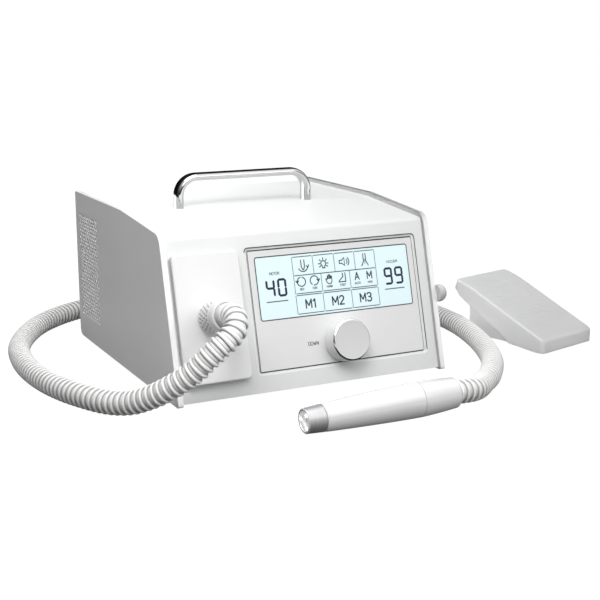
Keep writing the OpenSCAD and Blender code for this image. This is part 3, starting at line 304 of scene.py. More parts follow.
# Its tint is painted shade at the ribs' feet and over the valleys.
HOSE_WHITE = Finish(
    "ribbed_white", (0.895, 0.895, 0.892), 0.42, 0.05, 0.015, 22.0, 1400.0, 0.05, shine=0.25, tint=grey(0.38))
SLEEVE_GLOSS = Finish("sleeve_gloss", grey(0.955), 0.18, 0.03, 0.006, 20.0, 500.0, 0.01, coat=0.5)
NOSE_STEEL = Finish(
    "nose_steel", (0.68, 0.68, 0.685), 0.48, 0.04, 0.03, 40.0, 60.0, 0.06, Look.METAL, stretch=(60.0, 1.0, 1.0))
NOSE_LIP = Finish("nose_lip", (0.93, 0.93, 0.935), 0.55, 0.04, 0.02, 40.0, 300.0, 0.05, Look.METAL)
# The face glows a little: painted light standing in for light from the lamps beside it.
NOSE_FACE = Finish("nose_face", grey(0.95), 0.35, 0.05, 0.03, 60.0, 900.0, 0.05, Look.LIT, glow=0.25)
LIGHT_LENS = Finish("light_lens", grey(1.0), 0.08, 0.02, 0.004, 60.0, 400.0, 0.01, Look.LIT, glow=2.5)
TREADLE_GREY = Finish(
    "treadle_mould", (0.92, 0.922, 0.922), 0.6, 0.05, 0.008, 14.0, 900.0, 0.05, shine=0.15, through=0.8, reach=0.008)
PEDAL_BASE = Finish("pedal_base_grey", grey(0.955), 0.55, 0.05, 0.012, 20.0, 1300.0, 0.08, shine=0.2)
PEG_WHITE = Finish("peg_white", grey(0.81), 0.4, 0.05, 0.015, 40.0, 1600.0, 0.05)
REAR_PAINT = Finish("rear_paint", grey(0.8), 0.45, 0.05, 0.015, 9.0, 1500.0, 0.12)
BLACK_MOULD = Finish("black_mould", (0.10, 0.10, 0.105), 0.48, 0.06, 0.02, 30.0, 1700.0, 0.1)
FOOT_RUBBER = Finish("matt_rubber", grey(0.14), 0.75, 0.08, 0.03, 60.0, 900.0, 0.25)
STEEL = Finish("plain_steel", (0.66, 0.66, 0.67), 0.35, 0.08, 0.05, 30.0, 300.0, 0.1, Look.METAL)
ALLOY = Finish("cast_alloy", (0.74, 0.75, 0.76), 0.45, 0.08, 0.05, 30.0, 900.0, 0.15, Look.METAL)
COPPER = Finish("winding_copper", (0.72, 0.42, 0.22), 0.4, 0.08, 0.08, 80.0, 1200.0, 0.25, Look.METAL)
BOARD_GREEN = Finish("board_lacquer", (0.07, 0.30, 0.15), 0.4, 0.06, 0.03, 60.0, 700.0, 0.1)
INNER_GREY = Finish("inner_grey", (0.58, 0.59, 0.60), 0.55, 0.06, 0.02, 30.0, 1300.0, 0.1)
BAG_PAPER = Finish("bag_fibre", (0.86, 0.82, 0.70), 0.85, 0.05, 0.05, 90.0, 1500.0, 0.35)


def unit(v: np.ndarray) -> np.ndarray:
    """Scales vectors on the last axis to length one."""
    return v / np.linalg.norm(v, axis=-1, keepdims=True)


def angles(count: int) -> np.ndarray:
    """Gives angles evenly spaced round a turn."""
    return np.arange(count) * TURN / count


def quarter(steps: int = 5) -> np.ndarray:
    """Gives angles from 0 to a quarter turn."""
    return np.linspace(0.0, np.pi / 2.0, steps + 1)


def circle(r: float, count: int, x: float = 0.0, y: float = 0.0) -> np.ndarray:
    """Gives a circle's points, anticlockwise round (x, y)."""
    a = angles(count)
    return np.stack([x + r * np.cos(a), y + r * np.sin(a)], 1)


def raised(q: np.ndarray, z: float) -> np.ndarray:
    """Gives points of the plane a height."""
    return np.concatenate([q, np.full((*q.shape[:-1], 1), z)], -1)


def rounded(points: Sequence[Sequence[float]], radii: Sequence[float], steps: int = 8) -> np.ndarray:
    """Turns the corners of an outline into arcs: each arc touches both sides of its corner.

    Args:
        points: corners in order.
        radii: a radius for each, 0 for a sharp one.
        steps: pieces in each arc.

    Returns:
        The outline's points.
    """
    p = np.asarray(points, float)
    out = []
    for i, (corner, r) in enumerate(zip(p, radii)):
        if r <= 0.0:
            out.append(corner[None])
            continue
        u, v = unit(p[i - 1] - corner), unit(p[(i + 1) % len(p)] - corner)
        half = np.arccos(np.clip(u @ v, -1.0, 1.0)) / 2.0
        mid = corner + unit(u + v) * r / np.sin(half)
        a, b = (corner + q * r / np.tan(half) - mid for q in (u, v))
        start = np.arctan2(a[1], a[0])
        turn = (np.arctan2(b[1], b[0]) - start + np.pi) % TURN - np.pi
        angle = start + turn * np.linspace(0.0, 1.0, steps + 1)
        out.append(mid + r * np.stack([np.cos(angle), np.sin(angle)], 1))
    return np.concatenate(out)


def round_box(w: float, h: float, r: float, x: float = 0.0, y: float = 0.0, steps: int = 8) -> np.ndarray:
    """Gives a rectangle's outline with rounded corners, anticlockwise round (x, y)."""
    corners = np.array([[-w, -h], [w, -h], [w, h], [-w, h]]) / 2.0 + (x, y)
    return rounded(corners, [r] * 4, steps)


def inward(loop: np.ndarray, d: float) -> np.ndarray:
    """Moves a loop inwards, square to its sides and mitred at its corners.

    Args:
        loop: the loop, anticlockwise.
        d: how far, or how far outwards if below 0.

    Returns:
        The moved loop.
    """
    edge = unit(np.roll(loop, -1, 0) - loop)
    normal = np.stack([-edge[:, 1], edge[:, 0]], 1)
    before = np.roll(normal, 1, 0)
    dot = np.sum(before * normal, 1, keepdims=True)
    return loop + d * (before + normal) / (1.0 + dot)


def rings(loop: np.ndarray, steps: Iterable[tuple[float, float]]) -> np.ndarray:
    """Stacks copies of a loop, each moved inwards and raised by a step of its own."""
    return np.stack([raised(inward(loop, d), h) for d, h in steps])


def within(points: np.ndarray, loop: np.ndarray) -> np.ndarray:
    """Tells which points lie inside a loop: a ray from each crosses the loop an odd number of times.

    Args:
        points: points of the plane.
        loop: the loop.

    Returns:
        A truth value for each point.
    """
    a, b = loop, np.roll(loop, -1, 0)
    x, y = points[:, :1], points[:, 1:]
    rise = np.where(b[:, 1] == a[:, 1], 1.0, b[:, 1] - a[:, 1])
    crossed = (a[:, 1] > y) != (b[:, 1] > y)
    return np.sum(crossed & (x < a[:, 0] + (y - a[:, 1]) * (b[:, 0] - a[:, 0]) / rise), 1) % 2 == 1


def placing(origin: Sequence[float], *axes: Sequence[float]) -> Place:
    """Gives a placing whose three coordinates count along axes of their own from an origin."""
    return lambda p: p @ np.array(axes) + origin


def turned(r: np.ndarray, z: np.ndarray, sides: int) -> np.ndarray:
    """Carries radii and heights round an axis, as rows up it by columns round it."""
    a = angles(sides)
    return np.stack(np.broadcast_arrays(r * np.cos(a), r * np.sin(a), z), -1)


def tube(line: np.ndarray, ahead: np.ndarray, r: float | np.ndarray, sides: int) -> np.ndarray:
    """Carries a ring along a line, square to it.

    Args:
        line: the line's points.
        ahead: the way that it runs at each.
        r: the ring's radius, one for all points or one for each.
        sides: points in the ring.

    Returns:
        Points as rows along the line by columns round it.
    """
    side = unit(np.cross(ahead, UP))
    up = np.cross(side, ahead)
    a = angles(sides)[None, :, None]
    return line[:, None] + np.reshape(r, (-1, 1, 1)) * (np.cos(a) * side[:, None] + np.sin(a) * up[:, None])


@dataclass
class Surface:
    """Points and faces of one piece, gathered patch by patch."""

    points: list[np.ndarray] = field(default_factory=list)
    faces: list[list[int]] = field(default_factory=list)
    tints: list[int] = field(default_factory=list)
    shade_depths: list[np.ndarray] = field(default_factory=list)
    count: int = 0

    def add(self, points: np.ndarray, faces: np.ndarray, tint: int = 0) -> None:
        """Adds a patch.

        Args:
            points: its points, one row each.
            faces: its faces, counted from its own first point.
            tint: which of the piece's materials it takes.
        """
        self.points.append(np.asarray(points, float).reshape(-1, 3))
        self.faces.extend((np.asarray(faces) + self.count).tolist())
        self.tints.extend([tint] * len(faces))
        self.shade_depths.append(np.zeros(len(self.points[-1])))
        self.count += len(self.points[-1])

    def mark(self, depth: np.ndarray, patch: int = -1) -> None:
        """Notes how much painted shade each point of a patch takes, from 0 to 1."""
        self.shade_depths[patch] = depth.reshape(-1)

    def grid(self, p: np.ndarray, wrap: bool = False, flip: bool = False, tint: int = 0) -> None:
        """Adds a patch over a grid of points, four corners to a face.

        Args:
            p: points as rows by columns by three.
            wrap: whether the last column joins the first.
            flip: whether its faces look the other way.
            tint: which of the piece's materials it takes.
        """
        rows, cols = p.shape[:2]
        i = np.arange(rows * cols).reshape(rows, cols)
        right = np.roll(i, -1, 1) if wrap else i[:, 1:]
        left = i if wrap else i[:, :-1]
        quads = np.stack([left[:-1], right[:-1], right[1:], left[1:]], -1).reshape(-1, 4)
        self.add(p, quads[:, ::-1] if flip else quads, tint)

    def fill(self, loops: Sequence[np.ndarray], lift: Place, flip: bool = False, tint: int = 0) -> None:
        """Fills a flat region between an outer loop and its holes with triangles.

        Args:
            loops: the outer loop and then the holes, as points in the plane.
            lift: carries points of the plane into space.
            flip: whether its faces look the other way.
            tint: which of the piece's materials it takes.
        """
        sizes = [len(q) for q in loops]
        starts = np.cumsum([0, *sizes[:-1]])
        edges = np.concatenate([
            np.stack([np.arange(n), np.roll(np.arange(n), -1)], 1) + s for n, s in zip(sizes, starts)])
        flat = [Vector(q) for q in np.concatenate(loops)]
        verts, _, tris, *_ = delaunay_2d_cdt(flat, edges.tolist(), [], 0, SAME_POINT)
        where, t = np.array([v[:] for v in verts]), np.array(tris)
        inside = np.array([within(where[t].mean(1), q) for q in loops])
        t = t[inside[0] & ~inside[1:].any(0)]
        a, b, c = where[t[:, 0]], where[t[:, 1]], where[t[:, 2]]
        area = (b[:, 0] - a[:, 0]) * (c[:, 1] - a[:, 1]) - (b[:, 1] - a[:, 1]) * (c[:, 0] - a[:, 0])
        t[area < 0.0] = t[area < 0.0][:, ::-1]
        self.add(lift(where), t[:, ::-1] if flip else t, tint)

    def plate(
        self, loop: np.ndarray, low: float, high: float, lift: Place, edges: tuple[float, float],
        holes: Sequence[np.ndarray] = (), tints: tuple[int, int, int] = (0, 0, 0),
    ) -> None:
        """Adds a plate: an outline from low to high with rounded edges and holes through it.

        The rim is the outline carried through a profile of two quarter arcs; a narrow flat border
        stands between each arc and the face, so that the face shades flat.

        Args:
            loop: the outline, anticlockwise.
            low: height of its lower face.
            high: height of its upper face.
            lift: carries (u, v, height) into space.
            edges: rounding of the lower and the upper edge.
            holes: outlines of holes, anticlockwise.
            tints: materials of faces, rim and hole walls.
        """
        a = quarter()
        e0, e1 = edges
        inset = np.concatenate([[e0 + BORDER], e0 * (1.0 - np.sin(a)), e1 * (1.0 - np.cos(a)), [e1 + BORDER]])
        height = np.concatenate([[low], low + e0 * (1.0 - np.cos(a)), high - e1 * (1.0 - np.sin(a)), [high]])
        self.grid(lift(rings(loop, zip(inset, height))), wrap=True, tint=tints[1])
        mouths = [inward(q, -CHAMFER) for q in holes]
        for z, d, flip in ((high, e1, False), (low, e0, True)):
            self.fill([inward(loop, d + BORDER), *mouths], lambda q, h=z: lift(raised(q, h)), flip, tints[0])
        for hole, mouth in zip(holes, mouths):
            levels = (mouth, low), (hole, low + CHAMFER), (hole, high - CHAMFER), (mouth, high)
            self.grid(lift(np.stack([raised(q, h) for q, h in levels])), wrap=True, flip=True, tint=tints[2])

    def spin(self, profile: np.ndarray, lift: Place, sides: int = 96, tint: int = 0) -> None:
        """Adds a turned form: a profile (radius, height) carried round its axis.

        Args:
            profile: points from the lower end to the upper, radii 0 where the form closes.
            lift: carries points into space.
            sides: pieces in the turn.
            tint: which of the piece's materials it takes.
        """
        self.grid(lift(turned(profile[:, :1], profile[:, 1:], sides)), wrap=True, tint=tint)

    def cap(self, ring: np.ndarray, flip: bool) -> None:
        """Closes the end of a tube with a flat face over a ring's points."""
        order = np.arange(len(ring))
        self.add(ring, (order[::-1] if flip else order)[None])

    def ribbon(self, line: np.ndarray, wide: float, lift: Place, closed: bool = False) -> None:
        """Adds a flat stroke of even width along a line, mitred at its corners and run on a little at its ends.

        Args:
            line: points of the plane.
            wide: the stroke's width.
            lift: carries points of the plane into space.
            closed: whether the last point joins the first.
        """
        ahead = np.roll(line, -1, 0) - line
        if not closed:
            ahead[-1] = ahead[-2]
        ahead = unit(ahead)
        side = np.stack([-ahead[:, 1], ahead[:, 0]], 1)
        before, path = np.roll(side, 1, 0), line.copy()
        if not closed:
            before[0] = side[0]
            path[[0, -1]] += ahead[[0, -1]] * [[-wide * OVERRUN], [wide * OVERRUN]]
        mitre = (side + before) / np.maximum(1.0 + np.sum(side * before, 1, keepdims=True), MITRE_LEAST)
        self.grid(lift(np.stack([path - mitre * wide / 2.0, path + mitre * wide / 2.0])), wrap=closed)

    def piece(
        self, name: str, finishes: Sequence[Finish], slot: str, replaces: str = "", body: Body = Body.UNIT,
        head: Body | None = None, crease: float = 40.0, close: bool = True,
    ) -> bpy.types.Object:
        """Makes the mesh object, dresses it and, unless a head is given, lets it ride on its body.

        Args:
            name: the piece's name.
            finishes: its materials, in the order of its tints.
            slot: the record's material slot.
            replaces: the CAD node that it stands for, if any.
            body: what it moves with.
            head: if given, the piece is baked in place instead of riding its body; nothing makes its upper end move.
            crease: angle in degrees past which an edge stays sharp.
            close: whether seams are merged and faces turned outwards.

        Returns:
            The object.
        """
        mesh = bpy.data.meshes.new(name)
        points = np.concatenate(self.points) * MM
        mesh.from_pydata(points.tolist(), [], self.faces)
        for finish in finishes:
            mesh.materials.append(finish.material())
        mesh.polygons.foreach_set("material_index", np.array(self.tints, np.int32))
        # Painted shade, where there is any, goes into a point attribute for the finish's tint.
        depth = np.concatenate(self.shade_depths)
        if depth.any():
            mesh.attributes.new(PAINTED_SHADE, "FLOAT", "POINT").data.foreach_set("value", depth.astype(np.float32))
        if close:
            work = bmesh.new()
            work.from_mesh(mesh)
            bmesh.ops.remove_doubles(work, verts=work.verts, dist=MERGE)
            bmesh.ops.dissolve_degenerate(work, edges=work.edges, dist=SLIVER)
            bmesh.ops.recalc_face_normals(work, faces=work.faces)
            work.to_mesh(mesh)
            work.free()
        mesh.polygons.foreach_set("use_smooth", np.ones(len(mesh.polygons), bool))
        mesh.set_sharp_from_angle(angle=np.radians(crease))
        obj = bpy.data.objects.new(name, mesh)
        bpy.context.scene.collection.objects.link(obj)
        if head is None:
            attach(obj, body.value)
        else:
            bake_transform(obj)
        if replaces:
            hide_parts(replaces)
        LOG.info("%s: %d faces", name, len(mesh.polygons))
        return obj


@dataclass
class Housing:
    """Side panels and cover, with the leaning front that other pieces are placed on."""

    RECESS = (
        (-0.3, 0.0), (0.0, 0.0), (0.15, -0.05), (0.85, -0.85), (1.0, -0.9), (2.2, -0.95), (2.3, -1.05), (2.3, -2.5))

    width: float = 280.0
    depth: float = 298.0
    height: float = 158.0
    panel: float = 5.5
    lean: float = float(np.radians(15.3))
    level: float = 151.0
    fall: float = 8.8
    inset: float = 4.0
    wall: float = 3.5
    bend: float = 6.0
    lift: float = 4.0
    base: float = 6.0
    rear: float = 5.0
    tuck: float = 2.0
    gap: float = 0.15
    margin: float = 2.6
    vent: float = 3.9
    vent_sides: int = 14
    vent_pitch: float = 6.4
    vent_rise: float = 3.8
    vents_wide: float = 64.0
    vents_high: float = 112.0
    vents_back: float = 13.0
    vents_up: float = 25.5

    def __post_init__(self) -> None:
        """Works out the lines of the side view and the placing on the front."""
        self.side = self.width / 2.0 - self.panel
        self.back = self.depth / 2.0
        self.front = -self.depth / 2.0
        self.top = self.lift + self.height
        self.ridge = self.back - self.level
        self.nose_z = self.top - self.fall
        self.nose_y = self.front + (self.nose_z - self.lift) * np.tan(self.lean)
        self.rate = self.fall / (self.ridge - self.nose_y)
        c, n = np.cos(self.lean), np.sin(self.lean)
        self.on_front = placing((0.0, self.front, self.lift), (1.0, 0.0, 0.0), (0.0, n, c), (0.0, -c, n))

    def at_front(self, x: float, s: float, out: float = 0.0) -> Place:
        """Gives a placing across the front, up it and out of it, counted from a point there."""
        return lambda p: self.on_front(p + (x, s, out))

    def front_line(self, z: float, g: float) -> float:
        """Gives the place of the front at height z, g inside the panels' edges."""
        return self.front + (z - self.lift) * np.tan(self.lean) + g / np.cos(self.lean)

    def corner(self, g: float) -> list[float]:
        """Gives the corner where the front's line meets that of the sloping top.

        Args:
            g: how far inside the panels' edges both lines lie.

        Returns:
            Its place along and up.
        """
        start = self.front_line(0.0, g)
        z = (self.top - g - self.rate * (self.ridge - start)) / (1.0 - self.rate * np.tan(self.lean))
        return [self.front_line(z, g), z]

    def vent_holes(self) -> list[np.ndarray]:
        """Gives the vent holes of a side panel, in rows that are staggered by half a pitch.

        Returns:
            A circle in the side view for each hole.
        """
        rows = int((self.vents_high - self.vent) / self.vent_rise)
        cols = int((self.vents_wide - self.vent) / self.vent_pitch)
        row, col = np.meshgrid(np.arange(rows + 1), np.arange(cols + 1), indexing="ij")
        y = self.back - self.vents_back - self.vent / 2.0 - (col + (row % 2) / 2.0) * self.vent_pitch
        z = self.lift + self.vents_up + self.vent / 2.0 + row * self.vent_rise
        keep = col <= cols - row % 2
        return [circle(self.vent / 2.0, self.vent_sides, a, b) for a, b in zip(y[keep], z[keep])]

    def build_panel(self, name: str, x: float) -> None:
        """Builds a side panel: its side view carried across its thickness, edges rounded.

        Args:
            name: the side that it is on.
            x: place of its left face.
        """
        loop = rounded(
            [[self.front, self.lift], [self.back, self.lift], [self.back, self.top],
             [self.ridge, self.top], [self.nose_y, self.nose_z]],
            [3.0, 8.0, 3.0, 60.0, 12.0])
        skin = Surface()
        skin.plate(loop, x, x + self.panel, lambda p: p[..., [2, 0, 1]], (0.5, 0.5), self.vent_holes(), (0, 1, 2))
        skin.piece(f"{name}_side", [PANEL_PAINT, EDGE_PAINT, VENT_WHITE], "panel_grey", f"{name}_panel")

    def build_cover(self, display: Display) -> None:
        """Builds the cover: its side view carried across, and a front with the display's stepped recess in it.

        Args:
            display: what the recess is for.
        """
        low = self.inset + self.wall
        back = self.back - self.rear + self.tuck
        outer = rounded(
            [[back, self.top - self.inset], [self.ridge, self.top - self.inset], self.corner(self.inset),
             [self.front_line(self.base, self.inset), self.base]],
            [0.0, 40.0, self.bend, 0.0], 12)
        inner = rounded(
            [[self.front_line(self.base, low), self.base], self.corner(low),
             [self.ridge, self.top - low], [back, self.top - low]],
            [0.0, self.bend - self.wall, 36.0, 0.0], 12)
        reach = self.side - self.gap
        skin = Surface()
        for line in (outer[:-1], np.concatenate([outer[-1:], inner, outer[:1]])):
            skin.grid(np.stack([np.insert(line, 0, x, 1) for x in (-reach, reach)], 1))
        s0, s1 = ((z - self.lift) / np.cos(self.lean) + self.inset * np.tan(self.lean) for z in outer[-1:-3:-1, 1])
        edge = np.array([[-reach, s0], [reach, s0], [reach, s1], [-reach, s1]])
        rim = round_box(
            display.width + 2.0 * self.margin, display.height + 2.0 * self.margin, display.round + self.margin,
            display.x, display.s)
        place = self.at_front(0.0, 0.0, -self.inset)
        skin.fill([edge, inward(rim, self.RECESS[0][0])], lambda q: place(raised(q, 0.0)))
        skin.grid(place(rings(rim, self.RECESS)), wrap=True)
        skin.piece("cover_skin", [COVER_PAINT], "cover_white", "cover")

    def build(self, display: Display) -> None:
        """Builds both panels and the cover.

        Args:
            display: what the cover's recess is for.
        """
        for name, x in (("left", -self.width / 2.0), ("right", self.side)):
            self.build_panel(name, x)
        self.build_cover(display)


@dataclass
class Handle:
    """Carrying handle: a bright bar on two legs."""

    housing: Housing
    x: float = -6.0
    behind: float = 9.0
    span: float = 140.5
    rise: float = 34.0
    thick: float = 8.0
    wide: float = 17.0
    bend: float = 22.5
    power: float = 0.86
    sides: int = 48

    def build(self) -> None:
        """Builds the handle: an oval section carried up one leg, round two bends and down the other.

        The section is a circle whose cosine and sine are raised to a power, scaled to its thickness and width.
        """
        y, base = self.housing.ridge + self.behind, self.housing.top - self.housing.inset
        half, r, knee = self.span / 2.0, self.bend - self.thick / 2.0, self.rise - self.bend
        a = quarter(18)
        leg = np.linspace(0.0, knee, 4)[:-1]
        bar = np.linspace(0.0, half - r, 8)[:-1]
        right = np.concatenate([
            np.stack([np.full_like(leg, half), leg], 1),
            np.stack([half - r + r * np.cos(a), knee + r * np.sin(a)], 1),
            np.stack([bar[::-1], np.full_like(bar, self.rise - self.thick / 2.0)], 1)])
        line = np.concatenate([right, (right * (-1.0, 1.0))[::-1][1:]])
        ahead = unit(np.gradient(line, axis=0))
        ahead[[0, -1]] = [[0.0, 1.0], [0.0, -1.0]]
        outw = np.stack([ahead[:, 1], -ahead[:, 0]], 1)
        section = circle(1.0, self.sides)
        u, v = (np.sign(section) * np.abs(section) ** self.power * (self.thick, self.wide) / 2.0).T
        p = np.broadcast_arrays(
            self.x + line[:, :1] + outw[:, :1] * u, y + v, base + line[:, 1:] + outw[:, 1:] * u)
        skin = Surface()
        skin.grid(np.stack(p, -1), wrap=True)
        skin.piece("handle_bar", [CHROME], "chrome_bar", "carry_handle")


@dataclass
class Peg:
    """Small peg on the right side."""

    housing: Housing
    back: float = 20.0
    up: float = 73.0
    d: float = 17.0
    foot_d: float = 15.8
    foot: float = 0.8
    length: float = 9.5
    end: float = 6.4

    def build(self) -> None:
        """Builds the peg: a turned stub with a rounded end and a foot groove."""
        at = self.housing.width / 2.0, self.housing.front + self.back, self.housing.lift + self.up
        r, neck = self.d / 2.0, self.foot_d / 2.0
        profile = rounded(
            [[0.0, 0.0], [neck, 0.0], [neck, self.foot], [r, self.foot], [r, self.length], [0.0, self.length]],
            [0.0, 0.0, 0.2, 0.3, self.end, 0.0])
        skin = Surface()
        skin.spin(profile, lambda p: p[..., [2, 0, 1]] + at, 64)
        skin.piece("side_peg", [PEG_WHITE], "port_white", "holder_peg")


class Glyphs:
    """Letters and figures as strokes on a grid one unit high."""

    LINES: dict[str, list[list[tuple[float, float]]]] = {
        "A": [[(0, 0), (0.32, 1), (0.64, 0)], [(0.12, 0.34), (0.52, 0.34)]],
        "C": [[(0.6, 0.84), (0.45, 1), (0.16, 1), (0, 0.82), (0, 0.18), (0.16, 0), (0.45, 0), (0.6, 0.16)]],
        "D": [[(0, 0), (0, 1), (0.36, 1), (0.6, 0.78), (0.6, 0.22), (0.36, 0), (0, 0)]],
        "E": [[(0.52, 1), (0, 1), (0, 0), (0.52, 0)], [(0, 0.52), (0.44, 0.52)]],
        "F": [[(0.52, 1), (0, 1), (0, 0)], [(0, 0.52), (0.44, 0.52)]],
        "H": [[(0, 0), (0, 1)], [(0.58, 0), (0.58, 1)], [(0, 0.52), (0.58, 0.52)]],
        "M": [[(0, 0), (0, 1), (0.36, 0.3), (0.72, 1), (0.72, 0)]],
        "N": [[(0, 0), (0, 1), (0.58, 0), (0.58, 1)]],
        "O": [[(0.16, 0), (0.46, 0), (0.62, 0.18), (0.62, 0.82), (0.46, 1), (0.16, 1), (0, 0.82), (0, 0.18),
               (0.16, 0)]],
        "R": [[(0, 0), (0, 1), (0.4, 1), (0.56, 0.86), (0.56, 0.62), (0.4, 0.48), (0, 0.48)],
              [(0.34, 0.48), (0.6, 0)]],
        "T": [[(0.3, 0), (0.3, 1)], [(0, 1), (0.6, 1)]],
        "U": [[(0, 1), (0, 0.18), (0.16, 0), (0.44, 0), (0.6, 0.18), (0.6, 1)]],
        "V": [[(0, 1), (0.3, 0), (0.6, 1)]],
        "W": [[(0, 1), (0.2, 0), (0.42, 0.72), (0.64, 0), (0.84, 1)]],
        "1": [[(0, 0.78), (0.24, 1), (0.24, 0)]],
        "2": [[(0, 0.8), (0.14, 1), (0.42, 1), (0.56, 0.82), (0.52, 0.6), (0, 0), (0.58, 0)]],
        "3": [[(0, 0.86), (0.14, 1), (0.4, 1), (0.54, 0.84), (0.54, 0.66), (0.38, 0.53), (0.2, 0.53)],
              [(0.38, 0.53), (0.56, 0.38), (0.56, 0.16), (0.4, 0), (0.14, 0), (0, 0.14)]],
    }
    SEGMENTS: dict[str, str] = {"4": "fgbc", "0": "abcdef", "9": "abcdfg"}
    GAP: float = 0.24

    @classmethod
    def word(cls, text: str, x: float, y: float, high: float) -> list[np.ndarray]:
        """Gives the strokes of a word centred on (x, y).

        Args:
            text: the word.
            x: its middle across.
            y: its middle up.
            high: height of its letters.

        Returns:
            A line of two points for each straight stroke.
        """
        widths = [max(q[0] for line in cls.LINES[c] for q in line) for c in text]
        total = sum(widths) + cls.GAP * (len(text) - 1)
        starts = np.cumsum([0.0, *(w + cls.GAP for w in widths[:-1])]) - total / 2.0
        return [
            (np.asarray(pair, float) + (start, -0.5)) * high + (x, y)
            for c, start in zip(text, starts) for line in cls.LINES[c] for pair in zip(line[:-1], line[1:])]

    @classmethod
    def figure(cls, sign: str, x: float, y: float, w: float, h: float, bar: float) -> list[np.ndarray]:
        """Gives a seven-bar figure's lit bars as outlines: slim hexagons along the sides of two squares.

        Args:
            sign: the figure.
            x: its middle across.
            y: its middle up.
            w: its width between bar middles.
            h: its height between bar middles.
            bar: width of a bar.

        Returns:
            An outline for each bar.
        """
        ends = {
            "a": ((-w, h), (w, h)), "b": ((w, h), (w, 0)), "c": ((w, 0), (w, -h)), "d": ((-w, -h), (w, -h)),
            "e": ((-w, 0), (-w, -h)), "f": ((-w, h), (-w, 0)), "g": ((-w, 0), (w, 0))}
        out = []
        for key in cls.SEGMENTS[sign]:
            a, b = (np.asarray(q, float) / 2.0 + (x, y) for q in ends[key])
            along = unit(b - a)
            side = np.array([-along[1], along[0]]) * bar / 2.0
            a, b = a - along * bar * 0.1, b + along * bar * 0.1
            tip = along * bar / 2.0
            out.append(np.stack([a, a + tip - side, b - tip - side, b, b - tip + side, a + tip + side]))
        return out


